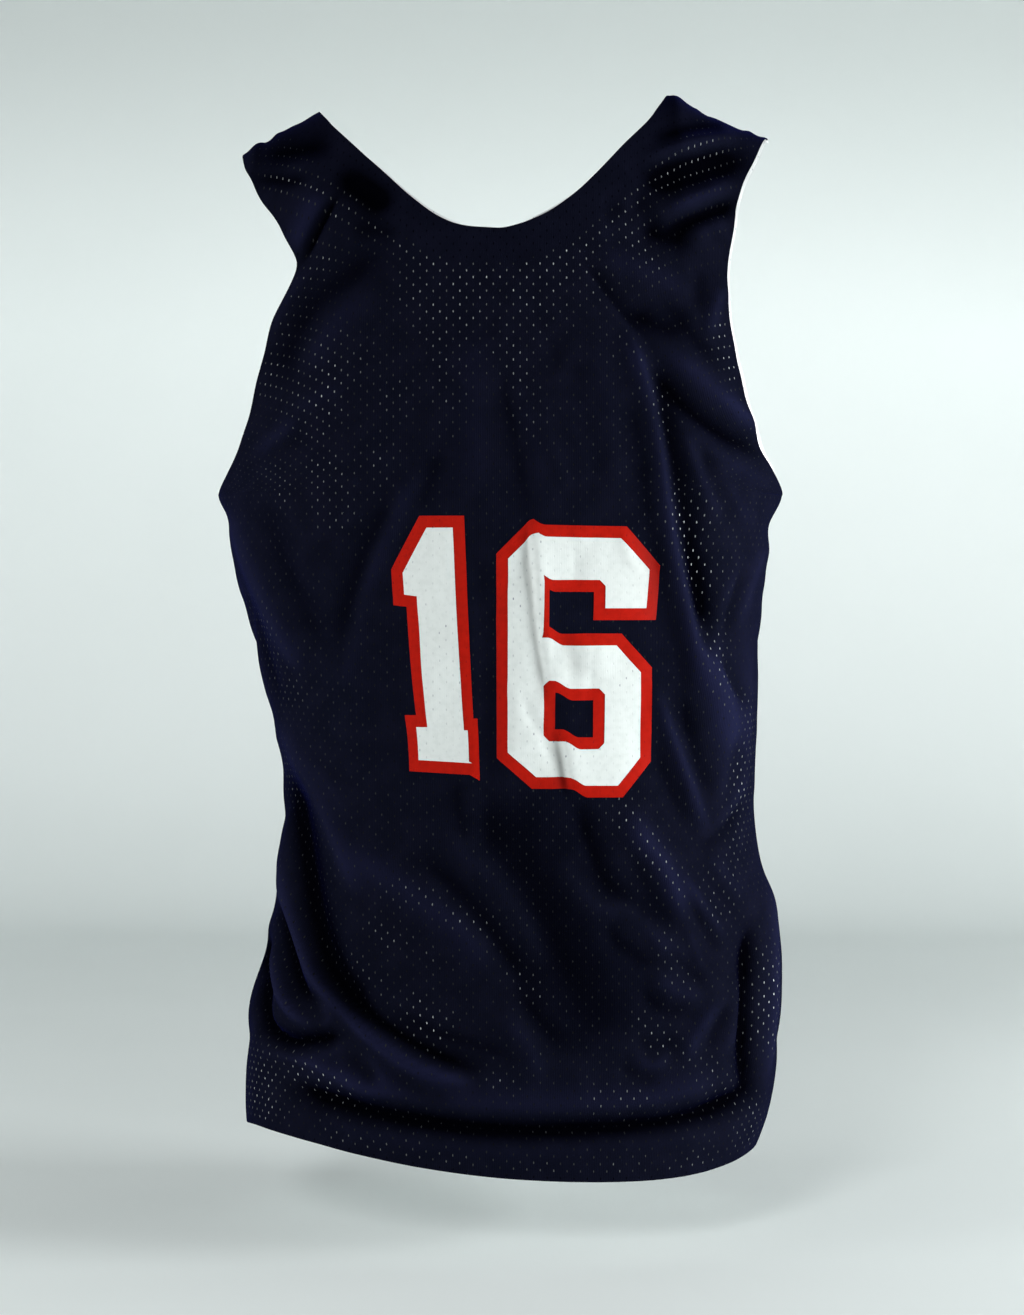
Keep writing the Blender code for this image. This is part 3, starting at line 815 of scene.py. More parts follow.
def surface_normals(points, cells):
    """Unit normals at the points of a grid, from the cells round each point."""
    corners = points[cells]
    across = np.cross(corners[:, 2] - corners[:, 0], corners[:, 3] - corners[:, 1])
    normals = np.zeros_like(points)
    for corner in range(cells.shape[1]):
        np.add.at(normals, cells[:, corner], across)
    return normals / np.linalg.norm(normals, axis=1)[:, None]


def border_edges(cells):
    """Edges that only one cell has, in that cell's direction."""
    edges = np.concatenate([np.stack((cells[:, i], cells[:, (i + 1) % cells.shape[1]]), 1)
                            for i in range(cells.shape[1])])
    size = int(cells.max()) + 1
    keys = edges[:, 0].astype(np.int64) * size + edges[:, 1]
    return edges[~np.isin(keys, edges[:, 1].astype(np.int64) * size + edges[:, 0])]


def distance_to(points, line):
    """Distance from each point to the nearest of the line's points."""
    nearest = np.full(len(points), np.inf)
    for place in line:
        np.minimum(nearest, ((points - place) ** 2).sum(1), out=nearest)
    return np.sqrt(nearest)


# %% [markdown]
# ## Where the two layers lie together
# White shows through a navy hole only where the inner layer touches the outer one: over the shoulder
# blades, along the pulls from the armpits and on the hips. These places are strokes like the creases,
# with the share of white in place of the rise. Everywhere else a faint trace is left, and the rest of
# the hole is painted dark, as shade in the gap between the layers.

# %% Table of touching places
def touches(panel, *rows):
    """Strokes of a panel. A row has the spread in mm, the share of white and the points of the line."""
    return tuple(
        Fold(panel, spread / MILLIMETRES, spread / MILLIMETRES, share, line_on(panel, line))
        for spread, share, *line in rows
    )


TOUCHES = touches(
    "back",
    # Neck, shoulder blades and armholes
    (13, 0.42, (346, 178), (380, 208), (420, 240), (462, 268), (500, 276), (545, 262), (600, 215),
     (650, 178), (716, 150)),
    (20, 0.24, (400, 285), (460, 312), (520, 308), (580, 280)),
    (9, 0.20, (440, 330), (446, 380), (455, 440)),
    (9, 0.20, (505, 320), (520, 380), (530, 440)),
    (9, 0.22, (396, 370), (386, 440), (380, 500)),
    (15, 0.62, (348, 330), (322, 385), (306, 440)),
    (11, 0.50, (322, 452), (330, 490), (338, 532)),
    (8, 0.25, (266, 466), (290, 504)),
    (8, 0.28, (344, 236), (305, 286), (276, 350), (266, 400)),
    (6, 0.40, (268, 178), (300, 186), (332, 196)),
    (6, 0.30, (334, 204), (352, 226)),
    (9, 0.30, (596, 196), (626, 232), (664, 276)),
    (10, 0.24, (566, 230), (606, 302)),
    (10, 0.22, (600, 330), (640, 372), (676, 430)),
    (13, 0.75, (676, 480), (686, 525), (696, 560), (706, 600)),
    (9, 0.26, (708, 610), (716, 660), (720, 705)),
    (7, 0.50, (714, 316), (736, 378)),
    (6, 0.22, (738, 382), (768, 452)),
    # Right side and below the number
    (8, 0.52, (742, 690), (742, 750), (740, 810)),
    (8, 0.30, (738, 800), (735, 876)),
    (10, 0.22, (722, 856), (716, 925)),
    (8, 0.50, (769, 940), (766, 1000), (762, 1055)),
    (11, 0.48, (600, 800), (618, 808), (632, 826)),
    (8, 0.30, (636, 828), (654, 860), (674, 900)),
    (10, 0.16, (656, 930), (676, 1000)),
    (8, 0.50, (636, 1018), (676, 1052)),
    (8, 0.22, (512, 970), (546, 1006)),
    (8, 0.36, (686, 1058), (736, 1090)),
    (9, 0.36, (752, 1096), (744, 1146)),
    # Left side, the swirl and the hem
    (7, 0.34, (384, 886), (440, 904), (496, 934)),
    (7, 0.24, (366, 926), (444, 962)),
    (8, 0.24, (346, 956), (404, 1004)),
    (11, 0.62, (398, 1008), (424, 1022), (452, 1040)),
    (12, 0.60, (262, 1040), (262, 1080), (266, 1124)),
    (8, 0.55, (286, 1062), (320, 1078), (356, 1096)),
    (8, 0.13, (330, 1134), (450, 1164), (560, 1172), (700, 1160)),
    (7, 0.24, (586, 1098), (644, 1100)),
    (7, 0.20, (480, 1078), (520, 1084)),
    (10, 0.18, (252, 590), (272, 650), (298, 706)),
    (7, 0.18, (282, 740), (290, 800)),
) + touches(
    "front",
    (13, 0.40, (-110, -90), (-70, -150), (0, -185), (70, -150), (110, -85)),
    (18, 0.24, (-60, -200), (10, -225), (70, -200)),
    (9, 0.34, (-150, -100), (-142, -170), (-164, -225)),
    (9, 0.38, (146, -90), (138, -160), (160, -220)),
    (13, 0.50, (-140, -260), (-122, -330), (-134, -400)),
    (12, 0.46, (136, -255), (118, -330), (128, -410)),
    (10, 0.22, (-40, -260), (-46, -340), (-36, -420)),
    (10, 0.20, (44, -250), (40, -330), (52, -420)),
    (10, 0.36, (-90, -470), (-50, -540), (0, -580)),
    (11, 0.40, (80, -500), (120, -560), (140, -620)),
    (11, 0.42, (-150, -590), (-146, -660), (-150, -715)),
    (9, 0.44, (20, -640), (60, -655), (100, -650)),
    (9, 0.24, (-100, -700), (0, -712), (120, -708)),
    (9, 0.34, (164, -640), (160, -690)),
)
TOUCH_TRACE = 0.03


def togetherness(panel, reach, height):
    """Share of white that shows in the holes of the navy cloth at each place."""
    total = sum(rise_of(touch, reach, height) for touch in TOUCHES if touch.panel == panel)
    return np.minimum(TOUCH_TRACE + total, 1.0)


print(f"{len(TOUCHES)} places where the layers touch")

# %% [markdown]
# ## From a grid to cloth
# Each layer is a closed shell: one side of the yarn, the other side, and a rim between them along the
# cut edges. A shell with real thickness shows its edge at the neck, armholes and hem, and it can be
# exported and printed. What the finish has to know at each point goes along as attributes, such as the
# distances to the neck and to the nearest edge.

# %% Shells
NAVY_NEAR, NAVY_FAR = 0.00030, 0.00085
WHITE_NEAR, WHITE_FAR = -0.00085, -0.00030
RIM_ANGLE = math.radians(60)


def closed_shell(name, near, far, cells, weave, layers):
    """A mesh object with a near side, a far side and the rim between them."""
    count = len(near)
    rim = border_edges(cells)
    rim_cells = np.stack((rim[:, 1], rim[:, 0], rim[:, 0] + count, rim[:, 1] + count), axis=1)
    sides = cells.shape[1]
    faces = (cells + count).tolist() + cells[:, ::-1].tolist() + rim_cells[:, ::-1].tolist()
    mesh = bpy.data.meshes.new(name)
    mesh.from_pydata(np.concatenate((near, far)).tolist(), [], faces)
    corners = np.zeros(len(mesh.loops), dtype=np.int32)
    mesh.loops.foreach_get("vertex_index", corners)
    uv = np.tile(np.stack(weave, axis=1), (2, 1))[corners]
    mesh.uv_layers.new(name="weave").data.foreach_set("uv", uv.astype(np.float32).ravel())
    for layer, values in layers.items():
        attribute = mesh.attributes.new(layer, "FLOAT", "POINT")
        attribute.data.foreach_set("value", np.tile(values, 2).astype(np.float32))
    mesh.shade_smooth()
    mesh.set_sharp_from_angle(angle=RIM_ANGLE)
    mesh.validate()
    piece = bpy.data.objects.new(name, mesh)
    bpy.context.scene.collection.objects.link(piece)
    print(f"{name}: {len(mesh.polygons)} faces of {sides} corners and a rim of {len(rim)}")
    return piece


# %% [markdown]
# The white layer is cut and turned a little unevenly. Beside the wearer's right arm it stands 3 to 6 mm
# proud of the navy edge and shows as a bright line. It peeps out by a millimetre at two places of
# the neck, and everywhere else it stays just inside.

# %% How far the white layer stands out at its edges
Lip = namedtuple("Lip", "place width")
ARM_LIPS = (
    Lip(0.00, 0.0030),
    Lip(0.05, 0.0062),
    Lip(0.14, 0.0050),
    Lip(0.26, 0.0036),
    Lip(0.40, 0.0030),
    Lip(0.70, 0.0036),
    Lip(1.00, 0.0026),
)
NECK_LIPS = (
    Lip(-0.60, -0.0010),
    Lip(-0.46, 0.0012),
    Lip(-0.22, 0.0014),
    Lip(-0.12, -0.0008),
    Lip(0.04, -0.0006),
    Lip(0.14, 0.0012),
    Lip(0.26, 0.0008),
    Lip(0.36, -0.0010),
)
INSIDE = -0.0010
HEM_SHORTER = 0.004
ARM_LIP_FROM = 0.80
NECK_LIP_FROM = 0.86
STRAP_TOP = 0.9
NECK_MIDDLE = 0.98
arm_lip = smooth_table(ARM_LIPS, "place", "width")
neck_lip = smooth_table(NECK_LIPS, "place", "width")


def shift_white_edges(panel, across, level):
    """Moves the outermost columns and topmost rows of the white layer by its lips."""
    back = panel == "back"
    arm = np.where((across > 0) & back, arm_lip(level), INSIDE) * (level > 0)
    edge = ease((np.abs(across) - ARM_LIP_FROM) / (1 - ARM_LIP_FROM))
    round_length = yoke_girth(np.maximum(level, 0)) * armhole_turn(panel, across, np.maximum(level, 0))
    moved = across + np.sign(across) * edge * arm / round_length
    corners = (NECK_MIDDLE * neck_corner(panel, side) for side in (-1, 1))
    top = neck_level(panel, np.clip(across, *corners))
    up = neck_lip(across) if back else INSIDE
    close = ease((level - NECK_LIP_FROM * top) / ((1 - NECK_LIP_FROM) * top)) * (level < STRAP_TOP)
    climb_length = (ridge_height(0.0) - ARMPIT_HEIGHT) * np.pi / 2
    raised = level + close * up / (climb_length * np.cos(np.minimum(level, STRAP_TOP) * np.pi / 2))
    hem = np.where(raised < 0, raised * (1 - HEM_SHORTER / (ARMPIT_HEIGHT - HEM_HEIGHT)), raised)
    return moved, hem


def make_layer(name, panel, near, far, shift=None):
    """One cut piece of one layer."""
    across, level, cells = panel_grid(panel, GRIDS[panel])
    if panel == "front":
        cells = cells[:, ::-1]
    middle_line = creased_points(panel, across, level)
    neck = (np.abs(across) < 0.999) & (level < 0.999)
    border = np.unique(border_edges(cells))
    on_neck = border[neck[border] & (level[border] > 0)]
    neck_distance = distance_to(middle_line, middle_line[on_neck])
    edge_distance = distance_to(middle_line, middle_line[border])
    if shift:
        across, level = shift(panel, across, level)
        middle_line = creased_points(panel, across, level)
    normals = surface_normals(middle_line, cells)
    on_seam = (level >= 1) | ((level <= 0) & (np.abs(across) >= 1))
    normals[on_seam] = smooth_normals(panel, across[on_seam], level[on_seam])
    weave = weave_place(panel, across, level)
    reach, _, height = place_on_panel(panel, across, level)
    # Masks for painted shade in the hollows and a painted highlight on the crests.
    hollow, crest = painted_shade_and_highlight(panel, reach, height)
    layers = {
        "neck_distance": neck_distance,
        "edge_distance": edge_distance,
        "hollow": hollow,
        "crest": crest,
        "together": togetherness(panel, reach, height),
    }
    sides = (middle_line + lift * normals for lift in (near, far))
    return closed_shell(name, *sides, cells, weave, layers)


navy_back = make_layer("navy_back", "back", NAVY_NEAR, NAVY_FAR)
navy_front = make_layer("navy_front", "front", NAVY_NEAR, NAVY_FAR)
white_back = make_layer("white_back", "back", WHITE_NEAR, WHITE_FAR, shift_white_edges)
white_front = make_layer("white_front", "front", WHITE_NEAR, WHITE_FAR, shift_white_edges)

# %% [markdown]
# ## The number
# The number is two block figures, printed as a red shape with a white one 8 mm inside it. Each figure
# is drawn flat by its corners, in metres from its lower left corner. The white outline isn't drawn: it
# is the red one moved inwards by the border's width, and the six has its inner corners cut off. A crease
# takes in half of the border left of the six's upper opening, so that side of the border is narrower.

# %% Block figures
BORDER = 0.008
TAKEN_IN = 0.0045
TAKEN_IN_FROM = (0.026, 0.104)
TAKEN_IN_TO = (0.030, 0.144)
Figure = namedtuple("Figure", "name left bottom cut_corners loops")
FIGURES = (
    Figure("one", -0.0750, -0.4625, False, (
        ((0.000, 0.002), (0.050, 0.000), (0.058, -0.004), (0.057, 0.038), (0.054, 0.038), (0.051, 0.174),
         (0.021, 0.174),
         (0.000, 0.138), (0.000, 0.114), (0.009, 0.113), (0.009, 0.040), (0.000, 0.040)),
    )),
    Figure("six", -0.0025, -0.4720, True, (
        ((0.025, 0.000), (0.090, -0.001), (0.110, 0.023), (0.109, 0.087), (0.087, 0.110),
         (0.036, 0.110), (0.036, 0.138), (0.067, 0.138), (0.067, 0.119), (0.111, 0.119),
         (0.114, 0.156), (0.088, 0.182), (0.025, 0.183), (0.000, 0.158), (0.000, 0.021)),
        ((0.041, 0.040), (0.041, 0.065), (0.068, 0.065), (0.068, 0.040)),
    )),
)


def moved_inwards(loop, width, cut_corners):
    """A loop moved to the left of its direction, with its inner corners cut off if that is asked."""
    loop = np.array(loop)
    moved = []
    for before, here, after in zip(np.roll(loop, 1, 0), loop, np.roll(loop, -1, 0)):
        into = (here - before) / np.linalg.norm(here - before)
        out = (after - here) / np.linalg.norm(after - here)
        left_of_into, left_of_out = np.array((-into[1], into[0])), np.array((-out[1], out[0]))
        turn = into[0] * out[1] - into[1] * out[0]
        if cut_corners and turn < -0.5:
            moved.append(here + width * left_of_into + 0.5 * width * into)
            moved.append(here + width * left_of_out - 0.5 * width * out)
        else:
            both = left_of_into + left_of_out
            moved.append(here + width * both / (1 + left_of_into @ left_of_out))
    return np.array(moved)


def taken_in(loop):
    """The outline moved right where the crease takes in part of the border."""
    there = np.all((loop > TAKEN_IN_FROM) & (loop < TAKEN_IN_TO), axis=1)
    return loop + np.where(there[:, None], (TAKEN_IN, 0.0), 0.0)


print("border corners of the six:", sum(len(loop) for loop in FIGURES[1].loops))

# %% [markdown]
# A flat figure has to bend with every crease under it, so it is filled with small triangles first. A
# Delaunay triangulation keeps the outline's own edges exactly and spreads points evenly inside. The
# even-odd rule then drops the triangles outside the outline or inside the eye of the six.

# %% Fill a figure with small triangles
FILL_PITCH = 0.0015
CLEAR_OF_BORDER = 0.45 * FILL_PITCH


def cut_up(loop, pitch):
    """The loop's points with more between them, no further apart than the pitch."""
    pieces = []
    for here, after in zip(loop, np.roll(loop, -1, 0)):
        count = max(1, math.ceil(np.linalg.norm(after - here) / pitch))
        pieces.append(here + (after - here) * np.arange(count)[:, None] / count)
    return np.concatenate(pieces)


def inside(points, loops):
    """Which points lie inside the loops, by the even-odd rule."""
    within = np.zeros(len(points), bool)
    x, y = points[:, 0], points[:, 1]
    for loop in loops:
        for (ax, ay), (bx, by) in zip(loop, np.roll(loop, -1, 0)):
            crosses = (ay > y) != (by > y)
            rise = by - ay if by != ay else 1.0
            within ^= crosses & (x < (bx - ax) * (y - ay) / rise + ax)
    return within


def filled(loops):
    """Points and triangles that fill the loops."""
    outline = [cut_up(np.array(loop), FILL_PITCH) for loop in loops]
    edges, start = [], 0
    for loop in outline:
        edges += [(start + i, start + (i + 1) % len(loop)) for i in range(len(loop))]
        start += len(loop)
    border = np.concatenate(outline)
    xs = np.arange(border[:, 0].min(), border[:, 0].max(), FILL_PITCH)
    ys = np.arange(border[:, 1].min(), border[:, 1].max(), FILL_PITCH)
    mesh = np.stack(np.meshgrid(xs, ys), axis=-1).reshape(-1, 2)
    mesh = mesh[inside(mesh, outline)]
    mesh = mesh[distance_to(mesh, border) > CLEAR_OF_BORDER]
    points = [Vector(point) for point in np.concatenate((border, mesh))]
    made, _, triangles, *_ = delaunay_2d_cdt(points, edges, [], 0, 1e-7)
    made, triangles = np.array(made), np.array(triangles)
    return made, triangles[inside(made[triangles].mean(1), outline)]


# %% [markdown]
# Then the figure is laid on the cloth. Its columns follow the grain of the back panel, so the one
# leans with the taper of the waist. The cloth right of the crease that runs through the six hangs a
# few millimetres lower, which steps the six's top and bottom edges.

# %% Lay the figures on the back
PRINT_HEIGHT = -0.290
PLEAT_TOP = (0.024, -0.290)
PLEAT_BOTTOM = (0.056, -0.468)
PLEAT_DROP = 0.0055
PLEAT_WIDTH = 0.012
RED_LIFT, WHITE_LIFT, INK = 0.00025, 0.00055, 0.00010
SEARCH = 0.008
STEP_ACROSS, STEP_UP = 0.004, 0.0025


def on_the_back(x, y):
    """Across and level on the back panel of places in the flat figures."""
    share = (y - PLEAT_TOP[1]) / (PLEAT_BOTTOM[1] - PLEAT_TOP[1])
    pleat = PLEAT_TOP[0] + (PLEAT_BOTTOM[0] - PLEAT_TOP[0]) * share
    height = y - PLEAT_DROP * ease((x - pleat) / PLEAT_WIDTH + 0.5)
    girth = np.where(x > 0, torso_right(PRINT_HEIGHT), torso_left(PRINT_HEIGHT))
    across = np.arcsin(x / girth) / (np.pi / 2)
    return across, (height - ARMPIT_HEIGHT) / (ARMPIT_HEIGHT - hem_height(across))


def creased_normals(panel, across, level):
    """Unit normals of the creased cloth, from points about a millimetre to each side."""
    right, left = (creased_points(panel, across + step, level) for step in (STEP_ACROSS, -STEP_ACROSS))
    above, below = (creased_points(panel, across, level + step) for step in (STEP_UP, -STEP_UP))
    normals = np.cross(right - left, above - below)
    return normals / np.linalg.norm(normals, axis=1)[:, None]


def dropped_on(tree, points, normals):
    """The points moved along their normals onto the outer side of a mesh."""
    dropped = []
    for point, normal in zip(points, normals):
        hit = tree.ray_cast(Vector(point + SEARCH * normal), Vector(-normal), 2 * SEARCH)[0]
        dropped.append(point if hit is None else hit)
    return np.array(dropped)


def print_figure(figure, loops, colour, lift):
    """One ink of one figure, as a thin skin on the navy cloth."""
    points, triangles = filled(loops)
    across, level = on_the_back(points[:, 0] + figure.left, points[:, 1] + figure.bottom)
    normals = creased_normals("back", across, level)
    cloth = dropped_on(navy_tree, creased_points("back", across, level), normals)
    reach, _, height = place_on_panel("back", across, level)
    shades = {"hollow": painted_shade_and_highlight("back", reach, height)[0]}
    weave = weave_place("back", across, level)
    near, far = cloth + lift * normals, cloth + (lift + INK) * normals
    return closed_shell(f"{colour}_{figure.name}", near, far, triangles, weave, shades)


navy_mesh = navy_back.data
navy_tree = BVHTree.FromPolygons(
    [corner.co for corner in navy_mesh.vertices], [tuple(face.vertices) for face in navy_mesh.polygons]
)
prints = {"red": [], "white": []}
for figure in FIGURES:
    inner = [moved_inwards(loop, BORDER, figure.cut_corners) for loop in figure.loops]
    if figure.name == "six":
        inner[0] = taken_in(inner[0])
    prints["red"].append(print_figure(figure, figure.loops, "red", RED_LIFT))
    prints["white"].append(print_figure(figure, inner, "white", WHITE_LIFT))

# %% [markdown]
# ## The open mesh as a finish
# The holes are about 0.8 by 1.7 mm, in rows that are staggered by half a step. Each panel has several
# thousand of them, so they are drawn by the material: a shader node group turns the weave coordinates
# into a mask of holes, the ribs of the knit between them, and a number that differs from hole to hole.
# One group serves all the cloths and inks.

# %% Helpers for shader nodes
def new_group(name, inputs, outputs):
    """An empty shader node group. Inputs are (name, socket type, default value)."""
    group = bpy.data.node_groups.new(name, "ShaderNodeTree")
    for label, kind, value in inputs:
        socket = group.interface.new_socket(name=label, in_out="INPUT", socket_type=kind)
        if value is not None:
            socket.default_value = value
    for label, kind in outputs:
        group.interface.new_socket(name=label, in_out="OUTPUT", socket_type=kind)
    return group, group.nodes.new("NodeGroupInput"), group.nodes.new("NodeGroupOutput")


def join(tree, value, socket):
    """Links a node's output to a socket, or sets the socket to a plain value."""
    if isinstance(value, bpy.types.NodeSocket):
        tree.links.new(value, socket)
    else:
        socket.default_value = value


def calculate(tree, operation, *values):
    """A Math node."""
    node = tree.nodes.new("ShaderNodeMath")
    node.operation = operation
    for value, socket in zip(values, node.inputs):
        join(tree, value, socket)
    return node.outputs[0]


def between(tree, value, low, high, to_low=0.0, to_high=1.0):
    """A smooth step of a value from one range to another."""
    node = tree.nodes.new("ShaderNodeMapRange")
    node.interpolation_type = "SMOOTHSTEP"
    for socket, setting in zip(node.inputs, (value, low, high, to_low, to_high)):
        join(tree, setting, socket)
    return node.outputs[0]


def noise(tree, vector, scale, detail=2.0, roughness=0.5):
    """Noise between 0 and 1."""
    node = tree.nodes.new("ShaderNodeTexNoise")
    join(tree, vector, node.inputs["Vector"])
    node.inputs["Scale"].default_value = scale
    node.inputs["Detail"].default_value = detail
    node.inputs["Roughness"].default_value = roughness
    return node.outputs["Fac"]


def mixed(tree, factor, first, second):
    """A mix of two colours."""
    node = tree.nodes.new("ShaderNodeMix")
    node.data_type = "RGBA"
    join(tree, factor, node.inputs["Factor"])
    join(tree, first, node.inputs["A"])
    join(tree, second, node.inputs["B"])
    return node.outputs["Result"]


def placed(tree, group):
    """A node that holds a node group."""
    node = tree.nodes.new("ShaderNodeGroup")
    node.node_tree = group
    return node


# %% Node group: holes and ribs of the mesh
def open_mesh_group():
    """Holes in staggered rows, each a small upright oval, with the knit's ribs between them."""
    inputs = [
        ("Weave", "NodeSocketVector", None),
        ("Hole Pitch", "NodeSocketFloat", 0.0090),
        ("Row Pitch", "NodeSocketFloat", 0.0047),
        ("Hole Width", "NodeSocketFloat", 0.0008),
        ("Hole Length", "NodeSocketFloat", 0.0017),
        ("Rib Pitch", "NodeSocketFloat", 0.0012),
    ]
    outputs = [("Hole", "NodeSocketFloat"), ("Rib", "NodeSocketFloat"), ("Which", "NodeSocketFloat")]
    tree, start, end = new_group("open_mesh", inputs, outputs)
    apart = tree.nodes.new("ShaderNodeSeparateXYZ")
    tree.links.new(start.outputs["Weave"], apart.inputs[0])
    row = calculate(tree, "DIVIDE", apart.outputs["Y"], start.outputs["Row Pitch"])
    row_number = calculate(tree, "FLOOR", row)
    stagger = calculate(tree, "MULTIPLY", calculate(tree, "FLOORED_MODULO", row_number, 2.0), 0.5)
    column = calculate(
        tree, "ADD", calculate(tree, "DIVIDE", apart.outputs["X"], start.outputs["Hole Pitch"]), stagger
    )
    from_middle = calculate(tree, "SUBTRACT", calculate(tree, "FRACT", column), 0.5)
    beside = calculate(tree, "MULTIPLY", from_middle, start.outputs["Hole Pitch"])
    above = calculate(tree, "MULTIPLY", calculate(tree, "SUBTRACT", calculate(tree, "FRACT", row), 0.5),
                      start.outputs["Row Pitch"])
    wide = calculate(tree, "DIVIDE", beside, calculate(tree, "MULTIPLY", start.outputs["Hole Width"], 0.5))
    tall = calculate(tree, "DIVIDE", above, calculate(tree, "MULTIPLY", start.outputs["Hole Length"], 0.5))
    far = calculate(tree, "SQRT", calculate(tree, "ADD", calculate(tree, "MULTIPLY", wide, wide),
                                            calculate(tree, "MULTIPLY", tall, tall)))
    tree.links.new(between(tree, far, 0.80, 1.15, 1.0, 0.0), end.inputs["Hole"])
    rib_number = calculate(tree, "DIVIDE", apart.outputs["X"], start.outputs["Rib Pitch"])
    ribs = calculate(tree, "SINE", calculate(tree, "MULTIPLY", rib_number, 2 * math.pi))
    tree.links.new(calculate(tree, "MULTIPLY_ADD", ribs, 0.5, 0.5), end.inputs["Rib"])
    cell = tree.nodes.new("ShaderNodeCombineXYZ")
    tree.links.new(calculate(tree, "FLOOR", column), cell.inputs["X"])
    tree.links.new(row_number, cell.inputs["Y"])
    random = tree.nodes.new("ShaderNodeTexWhiteNoise")
    random.noise_dimensions = "2D"
    tree.links.new(cell.outputs[0], random.inputs["Vector"])
    tree.links.new(random.outputs["Value"], end.inputs["Which"])
    return tree


# %% [markdown]
# Inside the places where the layers touch, the white still comes and goes a little. The second node
# group makes this drift: broad noise for soft patches, and long slanting streaks for the way the cloth
# is pulled.

# %% Node group: patches where the layers touch
def touching_group():
    """A value that drifts over the cloth in soft patches with slanting streaks."""
    inputs = [
        ("Weave", "NodeSocketVector", None),
        ("Patch Size", "NodeSocketFloat", 0.08),
        ("Low", "NodeSocketFloat", 0.42),
        ("High", "NodeSocketFloat", 0.60),
    ]
    tree, start, end = new_group("touching", inputs, [("Touching", "NodeSocketFloat")])
    scaled = tree.nodes.new("ShaderNodeVectorMath")
    scaled.operation = "DIVIDE"
    tree.links.new(start.outputs["Weave"], scaled.inputs[0])
    size = tree.nodes.new("ShaderNodeCombineXYZ")
    for axis in ("X", "Y", "Z"):
        tree.links.new(start.outputs["Patch Size"], size.inputs[axis])
    tree.links.new(size.outputs[0], scaled.inputs[1])
    slant = tree.nodes.new("ShaderNodeMapping")
    slant.inputs["Rotation"].default_value = (0, 0, math.radians(-35))
    slant.inputs["Scale"].default_value = (2.4, 0.8, 1.0)
    tree.links.new(scaled.outputs[0], slant.inputs["Vector"])
    broad = noise(tree, scaled.outputs[0], 1.0)
    streaks = noise(tree, slant.outputs[0], 1.6, 3.0)
    both = calculate(tree, "MULTIPLY_ADD", streaks, 0.45, calculate(tree, "MULTIPLY", broad, 0.55))
    touching = between(tree, both, start.outputs["Low"], start.outputs["High"])
    tree.links.new(touching, end.inputs["Touching"])
    return tree


open_mesh, touching = open_mesh_group(), touching_group()
print("node groups:", open_mesh.name, touching.name)

# %% [markdown]
# ## Materials
# The navy yarn is dyed very dark, so it needs little shine: a faint blue sheen lifts the parts that
# turn away, and the roughness is a plain setting. Shade is painted deep in a crease: the yarn is mixed
# towards black there. A highlight is painted on a crest: the yarn is mixed towards a lighter blue.
# The holes, the ribs and the plain band along the neck change over the surface, so they come from the
# groups and the attributes.

# %% Navy and white cloth
NECK_BAND, NECK_BAND_BLUR = 0.027, 0.003
EDGE_BAND, EDGE_BAND_BLUR = 0.004, 0.0015
LEAST_LUCK, LUCK_SPREAD = 0.30, 1.3
DRIFT_RANGE = (0.55, 1.30)
WEAR_SCALE, WEAR_DETAIL = 60.0, 4.0
WEAR_RANGE = (0.35, 0.70)
RIB_SHARE = 0.30
MESH_DEPTH, MESH_STRENGTH = 0.00035, 0.6


def new_material(name, **settings):
    """A material with its Principled shader's plain settings."""
    material = bpy.data.materials.new(name)
    material.use_nodes = True
    tree = material.node_tree
    shader = tree.nodes["Principled BSDF"]
    for label, value in settings.items():
        shader.inputs[label.replace("_", " ")].default_value = value
    return material, tree, shader


def weave_and_groups(tree, patch, low, high):
    """The weave coordinates, and both node groups fed with them."""
    weave = tree.nodes.new("ShaderNodeUVMap")
    weave.uv_map = "weave"
    mesh, touch = placed(tree, open_mesh), placed(tree, touching)
    for node in (mesh, touch):
        tree.links.new(weave.outputs[0], node.inputs["Weave"])
    for label, value in (("Patch Size", patch), ("Low", low), ("High", high)):
        touch.inputs[label].default_value = value
    return weave.outputs[0], mesh, touch.outputs["Touching"]


def read_attribute(tree, name):
    """A value carried by the mesh."""
    node = tree.nodes.new("ShaderNodeAttribute")
    node.attribute_name = name
    return node.outputs["Fac"]


def bump(tree, height, distance, strength):
    """A Bump node."""
    node = tree.nodes.new("ShaderNodeBump")
    node.inputs["Strength"].default_value = strength
    node.inputs["Distance"].default_value = distance
    join(tree, height, node.inputs["Height"])
    return node.outputs[0]


